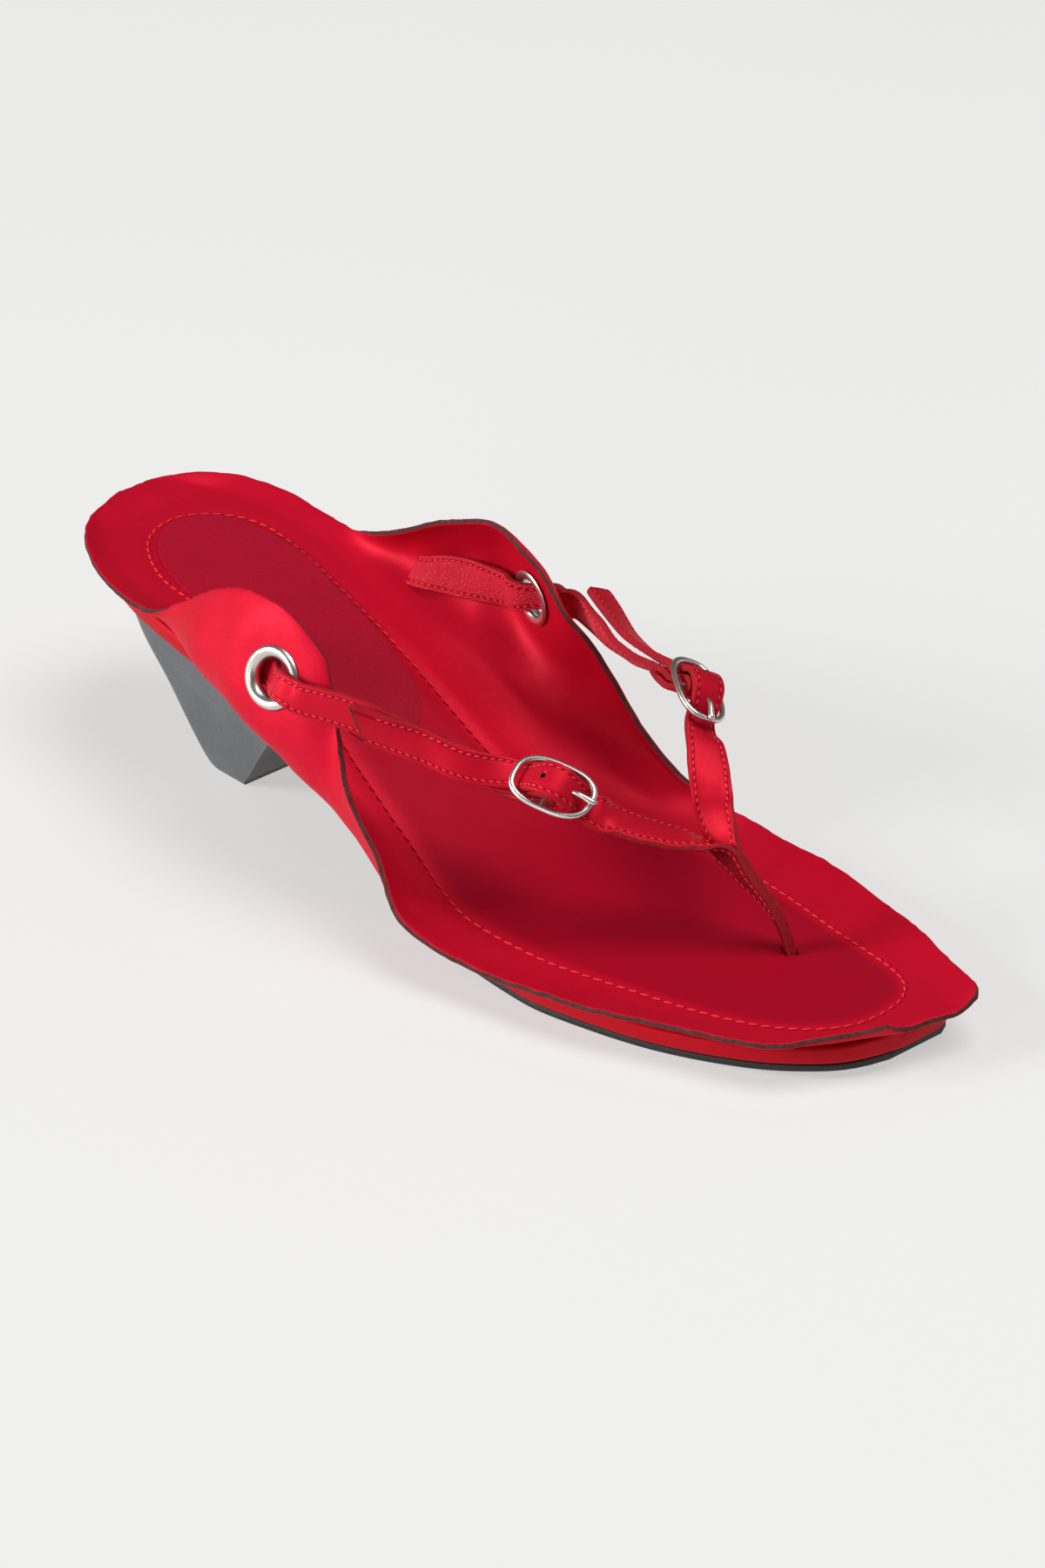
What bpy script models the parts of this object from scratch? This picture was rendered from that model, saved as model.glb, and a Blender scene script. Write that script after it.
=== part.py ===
"""Heeled toe-post sandal for the right foot, as separate named solids.

One satin-faced leather sheet covers the footbed, flares past the sole at heel and toe,
and rolls up into a wing on each side of the waist. A strap comes through a slit in each
wing, runs along the wing's inner face, leaves it through a metal eyelet and ends in a
loop on a buckle's bar. A two-armed yoke, folded from straps that form the toe post,
passes through both buckles.

Axes: +X is the outer (little toe) side, +Y points to the toe, +Z is up, and the origin is
under the heel's foot on the floor. Tables and lengths are in millimetres. Every vertex
is scaled to metres when its mesh is made.
"""
import math
from typing import NamedTuple

import bmesh
import bpy
from mathutils import Matrix, Vector

MM = 0.001
GAP = 0.3                    # clearance between neighbouring pieces

SHEET_THICKNESS = 1.5
INSOLE_THICKNESS = 4.4
OUTSOLE_THICKNESS = 1.7
OUTSOLE_INSET = 0.8          # the outsole's edge lies this far inside the insole's
OUTSOLE_BACK = 41.0          # the outsole ends just in front of the heel block

STRAP_THICKNESS = 1.6
STRAP_WIDTH = 7.8
LOOP_WIDTH = 7.6             # a side strap where it is folded round a buckle's bar
INNER_RUN_WIDTHS = (7.4, 7.8, 9.6)    # a side strap at its slit, past it, and halfway
SLIT_END_DEPTH = 0.6         # centre of a strap's let-in end, inwards of the wall's centre
SLIT_CUT_POINTS = 4          # the slit is cut clear along a strap route's first points
POST_SPACINGS = (1.5, 1.3, 1.05, 0.85, 0.7, 0.7)    # between the post's two bonded layers, going down
STRAP_STEP = 2.4             # distance between a strap's cross-sections

EYELET_HOLE_RADIUS = 4.45
EYELET_BARREL_RADIUS = 5.1
EYELET_RADIUS = 7.5
EYELET_BACK_RADIUS = 6.8
EYELET_FLANGE = 0.9
EYELET_BACK_FLANGE = 0.55
EYELET_SEGMENTS = 24
EYELET_FLAT_RADIUS = 8.4     # the wing is pressed flat this far around an eyelet
EYELET_BLEND_RADIUS = 20.0

WIRE_RADIUS = 0.75
BUCKLE_HALF_WIDTH = 5.65     # to the centre line of the frame's wire
BUCKLE_HALF_LENGTH = 9.5
BUCKLE_SQUARENESS = 2.7      # 2 would be an ellipse
BUCKLE_SEGMENTS = 30
PRONG_RADIUS = 0.6

LOW_START = 0.10             # slope of the sheet as it leaves the footbed, in thirds of its rise
LOW_DIP = 0.018              # and how much flatter it leaves for each unit of bulge
BRIM_LIFT = 1.7              # the whole brim behind the heel stands this far over the footbed
BRIM_LIFT_START = -38.0
BRIM_LIFT_FULL = -49.5
WALL_POINTS = 10             # across a wing or a brim, from the footbed to the raw edge
FOOTBED_SPANS = 5            # across the footbed between two walls

TOE_SLANT = -0.25            # the toe edge runs back by this much for each unit outwards
TOE_SLANT_START = 165.0
TOE_SLANT_FULL = 200.0
TOE_CENTRE_X = -18.0

RED = (0.50, 0.006, 0.020, 1.0)
DARK_RED = (0.20, 0.004, 0.012, 1.0)
CHARCOAL = (0.06, 0.06, 0.065, 1.0)
SOLE_BLACK = (0.012, 0.010, 0.010, 1.0)
NICKEL = (0.72, 0.70, 0.68, 1.0)


class Height(NamedTuple):
    """Top of the covered footbed at one distance along the shoe."""
    y: float
    z: float


class Flank(NamedTuple):
    """One side of the sheet: where it leaves the insole, and where its raw edge is."""
    y: float
    hinge: float     # distance outwards where the sheet leaves the insole
    edge: float      # distance outwards of the raw edge
    rise: float      # height of the raw edge above the footbed
    bulge: float     # how far the wall bows outwards of a straight line


class SoleWidth(NamedTuple):
    """Edges of the insole at one distance along the shoe."""
    y: float
    inner: float
    outer: float


class HeelLevel(NamedTuple):
    """Plan of the heel block at one height, from 0 at its foot to 1 at its top."""
    level: float
    inner: float
    outer: float
    back: float
    front: float
    roundness: float    # depth of the rounded back


class RoutePoint(NamedTuple):
    """A strap's centre and the direction of its width."""
    centre: Vector
    across: Vector
    width: float


FOOTBED = (
    Height(-50, 50.2), Height(-34, 49.1), Height(-10, 47.1), Height(10, 44.9),
    Height(28, 41.6), Height(44, 36.5), Height(60, 29.1), Height(76, 21.0),
    Height(90, 15.2), Height(104, 11.4), Height(118, 9.3), Height(132, 8.2),
    Height(158, 8.2), Height(178, 9.1), Height(198, 10.6), Height(212, 11.8),
)

OUTER_FLANK = (
    Flank(-50, 0.5, 2, 1.7, 0), Flank(-48.4, 4, 7.5, 1.7, 0), Flank(-45, 10, 15.5, 1.6, 0),
    Flank(-36, 18, 23.5, 1.2, 0),
    Flank(-20, 23, 29.5, 0.7, 0), Flank(-4, 24, 31.2, 2.4, 0.6), Flank(10, 24, 30.4, 11, 5),
    Flank(24, 23.4, 30.2, 22.2, 10.2), Flank(38, 22.6, 30.3, 30.6, 12), Flank(50, 22.5, 29.5, 33.8, 12),
    Flank(60, 23, 29, 32.4, 11.4), Flank(69, 23.5, 33, 20.8, 7.7), Flank(77, 24, 37.7, 15.1, 5.4),
    Flank(88, 26.5, 39.5, 10.2, 4.3), Flank(100, 29, 42.7, 2.7, 2.2), Flank(118, 28, 40, 1.5, 0.5),
    Flank(144, 22.5, 34.3, 2.8, 0.3), Flank(168, 14, 24.8, 2.4, 0.3), Flank(190, 5.5, 18, 2.2, 0.3),
    Flank(200, -0.5, 12.5, 2.2, 0.2), Flank(203, -7, 3, 2.2, 0.1), Flank(205.5, -13, -8, 2.2, 0),
)

INNER_FLANK = (
    Flank(-50, 3, 5, 1.7, 0), Flank(-48.4, 8, 11.5, 1.8, 0), Flank(-45, 13, 18.5, 1.9, 0),
    Flank(-36, 19.5, 26, 2, 0),
    Flank(-20, 22.5, 29.8, 2, 0), Flank(-4, 22.5, 29.5, 3, 0.5), Flank(8, 21.5, 28, 7.3, 2.8),
    Flank(20, 18, 27.5, 14.5, 7.7), Flank(36, 14.6, 29.1, 26.5, 11.9), Flank(50, 13.5, 31.1, 35, 12.5),
    Flank(60, 13.5, 28.6, 36.9, 12.9), Flank(70, 14, 29, 34.4, 12.2), Flank(78, 15.5, 34.5, 27.6, 9.6),
    Flank(86, 19, 38.2, 18, 7.2), Flank(96, 26, 40.8, 9.5, 5.1), Flank(107, 33, 46.2, 3.4, 2.2),
    Flank(120, 38, 49.5, 2.2, 0.7), Flank(144, 38.5, 48.6, 3.8, 0.4), Flank(168, 35.5, 46, 2.2, 0.3),
    Flank(190, 29.5, 38.3, 1.8, 0.2), Flank(200, 27, 34.5, 2.2, 0.1), Flank(205.5, 25.5, 30, 2.8, 0),
)

INSOLE = (
    SoleWidth(-38, -8, 8), SoleWidth(-36, -14, 14), SoleWidth(-31, -19.5, 20),
    SoleWidth(-22, -24.2, 24.8), SoleWidth(-8, -25.4, 27.8), SoleWidth(10, -24, 29.2),
    SoleWidth(32, -20.5, 28.6), SoleWidth(55, -17.2, 26.5), SoleWidth(74, -17.6, 27.2),
    SoleWidth(92, -25, 30.2), SoleWidth(108, -36, 32.4), SoleWidth(128, -41.8, 31.4),
    SoleWidth(148, -41.4, 27.4), SoleWidth(168, -38.6, 20.6), SoleWidth(184, -35.6, 12.8),
    SoleWidth(193, -33.6, 6), SoleWidth(198, -31.6, 0.5), SoleWidth(201, -29, -6),
    SoleWidth(202.6, -25, -13),
)

HEEL = (
    HeelLevel(0.0, -14.0, 14.0, -4.6, 9.0, 4.0), HeelLevel(0.03, -14.6, 14.6, -6.4, 9.6, 5.0),
    HeelLevel(0.12, -15.8, 15.9, -8.6, 13.0, 6.5), HeelLevel(0.55, -20.0, 20.6, -16.2, 26.0, 10.0),
    HeelLevel(0.85, -23.2, 24.9, -20.6, 35.5, 13.0), HeelLevel(1.0, -24.6, 26.6, -22.6, 39.5, 15.0),
)


def monotone_slopes(xs, ys):
    """Slopes of a cubic through the samples that doesn't overshoot them."""
    steps = [(y1 - y0) / (x1 - x0) for x0, x1, y0, y1 in zip(xs, xs[1:], ys, ys[1:])]
    slopes = [steps[0]]
    for before, after in zip(steps, steps[1:]):
        slopes.append(0.0 if before * after <= 0 else 2 * before * after / (before + after))
    slopes.append(steps[-1])
    return slopes


class Curve:
    """A smooth function through one column of a table, which is flat past its ends."""

    def __init__(self, table, column):
        self.xs = [row[0] for row in table]
        self.ys = [getattr(row, column) for row in table]
        self.slopes = monotone_slopes(self.xs, self.ys)

    def __call__(self, x):
        if x <= self.xs[0]:
            return self.ys[0]
        if x >= self.xs[-1]:
            return self.ys[-1]
        index = max(i for i, start in enumerate(self.xs) if start <= x)
        span = self.xs[index + 1] - self.xs[index]
        t = (x - self.xs[index]) / span
        rise = self.ys[index + 1] - self.ys[index]
        start_slope = self.slopes[index] * span
        end_slope = self.slopes[index + 1] * span
        return (self.ys[index] + start_slope * t + (3 * rise - 2 * start_slope - end_slope) * t ** 2
                + (start_slope + end_slope - 2 * rise) * t ** 3)


footbed_height = Curve(FOOTBED, "z")


def layer_height(y, depth):
    """Height of a layer that lies a given depth below the footbed's top, square to it."""
    slope = (footbed_height(y + 0.5) - footbed_height(y - 0.5))
    return footbed_height(y) - depth * math.hypot(1.0, slope)


def smooth_step(share):
    """Ease from 0 to 1, clamped outside."""
    share = min(max(share, 0.0), 1.0)
    return share * share * (3 - 2 * share)


def brim_lift(y):
    """Height of the sheet over the footbed behind the heel, where the brim closes round it."""
    return BRIM_LIFT * smooth_step((BRIM_LIFT_START - y) / (BRIM_LIFT_START - BRIM_LIFT_FULL))


class Side:
    """The sheet on one side of the shoe. A sign of 1 is the outer side, -1 the inner.

    A fullness of 1 puts the widest part of the wing halfway up, and more puts it lower.
    """

    def __init__(self, sign, table, fullness):
        self.sign = sign
        self.low_bow = 4 / 3 * fullness
        self.high_bow = 4 / 3 * (2 - fullness)
        self.hinge = Curve(table, "hinge")
        self.edge = Curve(table, "edge")
        self.rise = Curve(table, "rise")
        self.bulge = Curve(table, "bulge")

    def point(self, y, t):
        """Centre of the sheet's wall, from the hinge at t = 0 to the raw edge at t = 1."""
        hinge, edge, rise, bulge = self.hinge(y), self.edge(y), self.rise(y), self.bulge(y)
        lift = brim_lift(y)
        climb = rise - lift
        low = (hinge + (edge - hinge) / 3 + bulge * self.low_bow, lift + climb * (LOW_START - bulge * LOW_DIP))
        high = (hinge + (edge - hinge) * 2 / 3 + bulge * self.high_bow, lift + climb * 2 / 3)
        weights = ((1 - t) ** 3, 3 * t * (1 - t) ** 2, 3 * t ** 2 * (1 - t), t ** 3)
        out = sum(w * p for w, p in zip(weights, (hinge, low[0], high[0], edge)))
        up = sum(w * p for w, p in zip(weights, (lift, low[1], high[1], rise)))
        x = self.sign * out
        along = slanted(y, x)
        return Vector((x, along, layer_height(along, SHEET_THICKNESS / 2) + up))

    def frame(self, y, t):
        """Point on the wall with its outward normal and its direction towards the edge."""
        step = 0.02
        centre = self.point(y, t)
        along = self.point(y + 1, t) - self.point(y - 1, t)
        up = (self.point(y, t + step) - self.point(y, t - step)).normalized()
        normal = up.cross(along).normalized() * -self.sign
        return centre, normal, up


def slanted(y, x):
    """Turn the rows near the toe so that the last one is the toe's slanted edge."""
    share = (y - TOE_SLANT_START) / (TOE_SLANT_FULL - TOE_SLANT_START)
    return y + TOE_SLANT * min(max(share, 0.0), 1.0) * (x - TOE_CENTRE_X)


OUTER = Side(1, OUTER_FLANK, 1.5)
INNER = Side(-1, INNER_FLANK, 1.0)


class Fastening(NamedTuple):
    """Places of one side's slit, eyelet and buckle."""
    name: str
    side: Side
    slit: tuple          # y and t on the wing
    eyelet: tuple        # y and t on the wing
    buckle: Vector       # centre of the frame
    along: Vector        # the frame's length, towards the toe
    outward: Vector      # the frame's width, away from the foot's middle line
    skew: float          # sideways slope of the straps behind the frame


FASTENINGS = (
    Fastening("lateral", OUTER, (24.0, 0.40), (49.5, 0.685),
              Vector((11.7, 116.9, 43.8)), Vector((-0.35, 0.91, -0.20)), Vector((0.83, 0.20, -0.52)), 0.0),
    Fastening("medial", INNER, (21.5, 0.42), (58.0, 0.70),
              Vector((-33.0, 115.8, 51.2)), Vector((0.48, 0.84, -0.25)), Vector((-0.82, 0.33, -0.47)),
              -0.15),
)

# The free run of each side strap, from its eyelet to its buckle, and of each arm's tail.
STRAP_RUNS = {
    "lateral": (RoutePoint(Vector((37.1, 60.9, 52.8)), Vector((-0.1, -0.1, 1)), 7.9),
                RoutePoint(Vector((31.2, 73.1, 51.4)), Vector((-0.05, -0.05, 1)), 8.6),
                RoutePoint(Vector((25.4, 85.0, 47.5)), Vector((-0.15, -0.15, 1)), 8.4),
                RoutePoint(Vector((19.4, 96.6, 44.0)), Vector((-0.4, -0.2, 0.9)), STRAP_WIDTH)),
    "medial": (RoutePoint(Vector((-37.4, 70.5, 53.2)), Vector((0.1, 0, 1)), 7.4),
               RoutePoint(Vector((-35.6, 80.0, 51.8)), Vector((0.3, 0, 1)), STRAP_WIDTH),
               RoutePoint(Vector((-33.9, 90.0, 50.4)), Vector((0.6, 0, 0.8)), STRAP_WIDTH),
               RoutePoint(Vector((-34.3, 97.5, 49.9)), Vector((0.7, -0.1, 0.65)), STRAP_WIDTH)),
}
TAIL_RUNS = {
    "lateral": (RoutePoint(Vector((35.8, 78.5, 53.7)), Vector((0.1, 0.1, 1)), 8.6),
                RoutePoint(Vector((32.8, 81.9, 52.0)), Vector((0.0, 0.1, 1)), 8.6),
                RoutePoint(Vector((26.4, 90.0, 48.6)), Vector((-0.2, -0.2, 1)), 8.0),
                RoutePoint(Vector((21.7, 98.2, 45.6)), Vector((-0.4, -0.2, 0.9)), 7.4)),
    "medial": (RoutePoint(Vector((-40.6, 73.6, 57.4)), Vector((0.88, 0, 0.42)), 6.4),
               RoutePoint(Vector((-39.7, 77.5, 56.1)), Vector((0.86, 0, 0.45)), 7.6),
               RoutePoint(Vector((-37.0, 88.0, 53.0)), Vector((0.78, 0, 0.6)), 7.6),
               RoutePoint(Vector((-36.0, 97.5, 51.8)), Vector((0.7, -0.1, 0.65)), 7.4)),
}
ARM_RUNS = {
    "lateral": (RoutePoint(Vector((3.0, 127.6, 36.6)), Vector((-0.9, -0.4, 0.05)), 9.0),
                RoutePoint(Vector((-0.6, 131.8, 34.7)), Vector((-0.83, -0.55, 0.05)), 9.4),
                RoutePoint(Vector((-5.0, 137.0, 33.2)), Vector((-0.67, -0.74, 0.05)), 9.2),
                RoutePoint(Vector((-9.4, 142.0, 31.6)), Vector((-0.35, -0.93, -0.15)), 8.8)),
    "medial": (RoutePoint(Vector((-24.8, 127.2, 44.3)), Vector((0.76, -0.6, 0.25)), 8.8),
               RoutePoint(Vector((-22.0, 131.2, 41.8)), Vector((0.7, -0.67, 0.2)), 9.5),
               RoutePoint(Vector((-18.8, 135.8, 38.4)), Vector((0.62, -0.78, 0.0)), 9.2),
               RoutePoint(Vector((-16.2, 140.2, 34.8)), Vector((0.4, -0.85, -0.3)), 8.8)),
}
# The toe post from the arms' junction down to the slit in the footbed.
POST_RUN = (
    RoutePoint(Vector((-13.4, 147.2, 29.5)), Vector((0.0, -0.79, -0.62)), 7.8),
    RoutePoint(Vector((-14.9, 151.0, 25.0)), Vector((-0.15, -0.81, -0.56)), 6.4),
    RoutePoint(Vector((-16.9, 154.8, 20.6)), Vector((-0.3, -0.85, -0.42)), 5.5),
    RoutePoint(Vector((-18.4, 158.0, 15.6)), Vector((-0.42, -0.85, -0.3)), 4.9),
    RoutePoint(Vector((-19.2, 160.5, 9.6)), Vector((-0.5, -0.82, -0.28)), 4.5),
    RoutePoint(Vector((-19.4, 161.6, 3.4)), Vector((-0.5, -0.84, -0.2)), 4.5),
)

# A side strap through its eyelet: distance along the wing, out of it, and width.
STRAP_IN_EYELET = ((-9.5, -3.1, 9.3), (-5.0, -3.2, 8.2), (-2.3, -2.2, 6.9), (0.0, 0.0, 6.3),
                   (2.0, 2.3, 6.4), (5.0, 3.7, 6.9), (8.6, 3.5, 7.3))

# Strap layers through a buckle: distance along the frame, height over its plane, and width.
SIDE_STRAP_IN_BUCKLE = ((-10.4, -5.0, 7.8), (-6.8, -3.7, 7.6), (-3.9, -0.8, 7.6))
SIDE_STRAP_FOLD = ((-2.4, -2.4, 7.6), (-5.7, -5.5, 7.6), (-9.8, -7.0, 7.8), (-13.0, -7.4, 7.8))
ARM_IN_BUCKLE = ((-11.0, -3.0, 7.4), (-8.0, -2.3, 6.9), (-5.2, 0.6, 6.9), (-2.4, 3.2, 8.2), (0.0, 3.9, 8.4),
                 (2.8, 3.4, 8.2), (5.4, 1.1, 7.4), (7.4, -2.1, 7.0), (10.6, -3.3, 8.0))
PRONG_IN_BUCKLE = ((4.4, 1.8), (6.8, 2.4), (9.4, 1.8), (11.2, 1.2))


def material(name, colour, roughness, metallic=0.0):
    """A Principled material."""
    made = bpy.data.materials.new(name)
    made.use_nodes = True
    shader = made.node_tree.nodes["Principled BSDF"]
    shader.inputs["Base Color"].default_value = colour
    shader.inputs["Roughness"].default_value = roughness
    shader.inputs["Metallic"].default_value = metallic
    made.diffuse_color = colour
    return made


def add_object(name, mesh, collection, finish=None):
    """Put a mesh in a collection as an object with one material."""
    made = bpy.data.objects.new(name, mesh)
    collection.objects.link(made)
    if finish:
        made.data.materials.append(finish)
    return made


def mesh_of(name, points, faces):
    """Mesh from points in millimetres, with its faces pointing out."""
    mesh = bpy.data.meshes.new(name)
    mesh.from_pydata([Vector(point) * MM for point in points], [], faces)
    work = bmesh.new()
    work.from_mesh(mesh)
    bmesh.ops.recalc_face_normals(work, faces=work.faces)
    work.to_mesh(mesh)
    work.free()
    return mesh


def loft(name, rings):
    """Closed mesh through rings of equal length, with its first and last ring capped."""
    count = len(rings[0])
    points = [point for ring in rings for point in ring]
    faces = [tuple(reversed(range(count)))]
    for row in range(len(rings) - 1):
        for i in range(count):
            following = (i + 1) % count
            faces.append((row * count + i, row * count + following,
                          (row + 1) * count + following, (row + 1) * count + i))
    faces.append(tuple(range((len(rings) - 1) * count, len(rings) * count)))
    return mesh_of(name, points, faces)


def tube(name, points, radius, cyclic=False):
    """Closed mesh of a wire through points in millimetres."""
    curve = bpy.data.curves.new(name, "CURVE")
    curve.dimensions = "3D"
    curve.bevel_depth = radius * MM
    curve.bevel_resolution = 2
    curve.use_fill_caps = not cyclic
    spline = curve.splines.new("POLY")
    spline.points.add(len(points) - 1)
    for place, point in zip(spline.points, points):
        place.co = (*(point * MM), 1.0)
    spline.use_cyclic_u = cyclic
    holder = bpy.data.objects.new(name + "_path", curve)
    bpy.context.scene.collection.objects.link(holder)
    graph = bpy.context.evaluated_depsgraph_get()
    mesh = bpy.data.meshes.new_from_object(holder.evaluated_get(graph))
    bpy.data.objects.remove(holder, do_unlink=True)
    work = bmesh.new()
    work.from_mesh(mesh)
    bmesh.ops.remove_doubles(work, verts=work.verts, dist=1e-6)
    bmesh.ops.recalc_face_normals(work, faces=work.faces)
    work.to_mesh(mesh)
    work.free()
    mesh.materials.clear()
    return mesh


def boolean(target, tool, operation="DIFFERENCE"):
    """Add an exact Boolean to an object. The tool isn't rendered."""
    modifier = target.modifiers.new(tool.name, "BOOLEAN")
    modifier.operation = operation
    modifier.solver = "EXACT"
    modifier.object = tool
    tool.hide_render = True
    tool.display_type = "WIRE"


def stations(start, end, spacing):
    """Even steps between two distances along the shoe, both included."""
    count = max(1, round((end - start) / spacing))
    return [start + (end - start) * i / count for i in range(count + 1)]


def pressed_flat(point):
    """Press the wing onto the flat of an eyelet where the point is close to one."""
    for fastening in FASTENINGS:
        centre, normal, _ = fastening.side.frame(*fastening.eyelet)
        offset = point - centre
        blend = EYELET_BLEND_RADIUS - EYELET_FLAT_RADIUS
        share = smooth_step((EYELET_BLEND_RADIUS - offset.length) / blend)
        point = point - normal * offset.dot(normal) * share
    return point


def sheet_row(y):
    """Centre line of the sheet across the shoe, from the inner edge to the outer."""
    wall = [i / (WALL_POINTS - 1) for i in range(WALL_POINTS)]
    row = [INNER.point(y, t) for t in reversed(wall)]
    inner, outer = -INNER.hinge(y), OUTER.hinge(y)
    for i in range(1, FOOTBED_SPANS):
        x = inner + (outer - inner) * i / FOOTBED_SPANS
        along = slanted(y, x)
        row.append(Vector((x, along, layer_height(along, SHEET_THICKNESS / 2) + brim_lift(y))))
    row += [OUTER.point(y, t) for t in wall]
    return [pressed_flat(point) for point in row]


def sampled_route(points):
    """Strap cross-sections at even steps on a smooth curve through the route's points."""
    padded = [points[0], *points, points[-1]]
    samples = []
    for before, start, end, after in zip(padded, padded[1:], padded[2:], padded[3:]):
        count = max(1, round((end.centre - start.centre).length / STRAP_STEP))
        for i in range(count):
            t = i / count
            weights = (-t / 2 + t * t - t ** 3 / 2, 1 - 2.5 * t * t + 1.5 * t ** 3,
                       t / 2 + 2 * t * t - 1.5 * t ** 3, (t ** 3 - t * t) / 2)
            knots = (before, start, end, after)
            centre = sum((knot.centre * w for knot, w in zip(knots, weights)), Vector())
            across = start.across.normalized().lerp(end.across.normalized(), smooth_step(t))
            samples.append(RoutePoint(centre, across, start.width + (end.width - start.width) * t))
    samples.append(points[-1])
    return samples


def ribbon_rings(points, thickness, extra_width=0.0):
    """Four-cornered cross-sections of a strap along a route."""
    samples = sampled_route(points)
    rings = []
    for i, sample in enumerate(samples):
        tangent = samples[min(i + 1, len(samples) - 1)].centre - samples[max(i - 1, 0)].centre
        tangent.normalize()
        across = (sample.across - tangent * sample.across.dot(tangent)).normalized()
        normal = tangent.cross(across)
        half = across * (sample.width + extra_width) / 2
        thick = normal * thickness / 2
        rings.append([sample.centre + half + thick, sample.centre - half + thick,
                      sample.centre - half - thick, sample.centre + half - thick])
    return rings


def on_wing(side, y, t, offset, width):
    """Route point beside the wing's wall, on its outer face for a positive offset."""
    _, normal, up = side.frame(y, t)
    return RoutePoint(pressed_flat(side.point(y, t)) + normal * offset, up, width)


class BuckleFrame:
    """Axes of one buckle: along the frame, outwards across it, and up from its plane."""

    def __init__(self, fastening):
        self.centre = fastening.buckle
        self.along = fastening.along.normalized()
        across = fastening.outward - self.along * fastening.outward.dot(self.along)
        self.outward = across.normalized()
        self.up = self.along.cross(self.outward) * -fastening.side.sign
        self.skew = fastening.skew

    def at(self, along, height, outward=0.0):
        """World point of a place in the buckle."""
        return self.centre + self.along * along + self.up * height + self.outward * outward

    def route(self, places):
        """Flat route points whose width lies across the frame.

        Behind the frame the strap comes in at a slight angle, from its skewed side.
        """
        return [RoutePoint(self.at(along, height, self.skew * max(0.0, -5.0 - along)), -self.outward, width)
                for along, height, width in places]


def side_strap_route(fastening):
    """A side strap from its end in the wing's slit, through the eyelet, to the buckle's bar."""
    side = fastening.side
    lying = SHEET_THICKNESS / 2 + GAP + STRAP_THICKNESS / 2
    slit_y, slit_t = fastening.slit
    eyelet_y, eyelet_t = fastening.eyelet
    middle = (slit_y + (eyelet_y - slit_y) * 0.36, slit_t + (eyelet_t - slit_t) * 0.4)
    slit_width, near_width, middle_width = INNER_RUN_WIDTHS
    centre, normal, up = side.frame(eyelet_y, eyelet_t)
    ahead = (STRAP_RUNS[fastening.name][0].centre - centre)
    ahead = (ahead - normal * ahead.dot(normal)).normalized()
    across = normal.cross(ahead) * side.sign
    route = [on_wing(side, slit_y, slit_t, -SLIT_END_DEPTH, slit_width),
             on_wing(side, slit_y + 4.0, slit_t + 0.02, -lying - 0.6, near_width),
             on_wing(side, *middle, -lying - 1.0, middle_width)]
    for forward, out, width in STRAP_IN_EYELET:
        route.append(RoutePoint(centre + ahead * forward + normal * out, across, width))
    route += STRAP_RUNS[fastening.name]
    turn = WIRE_RADIUS + GAP + STRAP_THICKNESS / 2
    angles = [math.radians(degrees) for degrees in (125, 90, 50, 10, -30, -70)]
    loop = [(turn * math.cos(angle), turn * math.sin(angle), LOOP_WIDTH) for angle in angles]
    frame = BuckleFrame(fastening)
    route += frame.route([*SIDE_STRAP_IN_BUCKLE, *loop, *SIDE_STRAP_FOLD])
    return route


def yoke_route(fastening):
    """A yoke arm from its free end, through the buckle, to the foot of the post."""
    name = fastening.name
    frame = BuckleFrame(fastening)
    route = list(TAIL_RUNS[name])
    route += frame.route(ARM_IN_BUCKLE)
    route += ARM_RUNS[name]
    for point, spacing in zip(POST_RUN, POST_SPACINGS):
        shift = Vector((fastening.side.sign * spacing / 2, 0, 0))
        route.append(point._replace(centre=point.centre + shift))
    return route


def make_sheet(collection, finish):
    """The upper: one sheet that covers the footbed and rises into two wings."""
    ys = ([-50, -49.4, -48.2, -46.4, -43.5, -39] + stations(-34, 0, 6.8)[:-1] + stations(0, 34, 4.9)[:-1]
          + stations(34, 74, 3.08)[:-1] + stations(74, 110, 5.1)[:-1] + stations(110, 186, 9.5)
          + [191, 195, 198, 200.5, 202.5, 204.2, 205.5])
    rows = [sheet_row(y) for y in ys]
    count = len(rows[0])
    points = [point for row in rows for point in row]
    faces = [(r * count + c, r * count + c + 1, (r + 1) * count + c + 1, (r + 1) * count + c)
             for r in range(len(rows) - 1) for c in range(count - 1)]
    sheet = add_object("upper_sheet", mesh_of("upper_sheet", points, faces), collection, finish)
    solidify = sheet.modifiers.new("wall", "SOLIDIFY")
    solidify.thickness = SHEET_THICKNESS * MM
    solidify.offset = 0.0
    return sheet


def make_sole_layer(name, collection, finish, ys, depths, inset, chamfer):
    """A layer of the sole: the insole's outline drawn in, between two depths."""
    inner, outer = Curve(INSOLE, "inner"), Curve(INSOLE, "outer")
    upper, lower = depths
    rings = []
    for y in ys:
        left, right = inner(y) + inset, outer(y) - inset
        top, bottom = layer_height(y, upper), layer_height(y, lower)
        rings.append([(left + chamfer, y, top), (right - chamfer, y, top), (right, y, top - chamfer),
                      (right, y, bottom + chamfer), (right - chamfer, y, bottom), (left + chamfer, y, bottom),
                      (left, y, bottom + chamfer), (left, y, top - chamfer)])
    return add_object(name, loft(name, rings), collection, finish)


def heel_ring(row, under_insole):
    """Outline of the heel block at one level: straight in front, rounded behind."""
    centre, half = (row.inner + row.outer) / 2, (row.outer - row.inner) / 2
    corner = row.back + row.roundness
    plan = [(row.inner, row.front), (row.outer, row.front)]
    for i in range(17):
        angle = math.pi * i / 16
        swell = 2 / 3.2
        x = centre + half * math.copysign(abs(math.cos(angle)) ** swell, math.cos(angle))
        plan.append((x, corner - row.roundness * math.sin(angle) ** swell))
    return [(x, y, row.level * layer_height(y, under_insole)) for x, y in plan]


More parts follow.
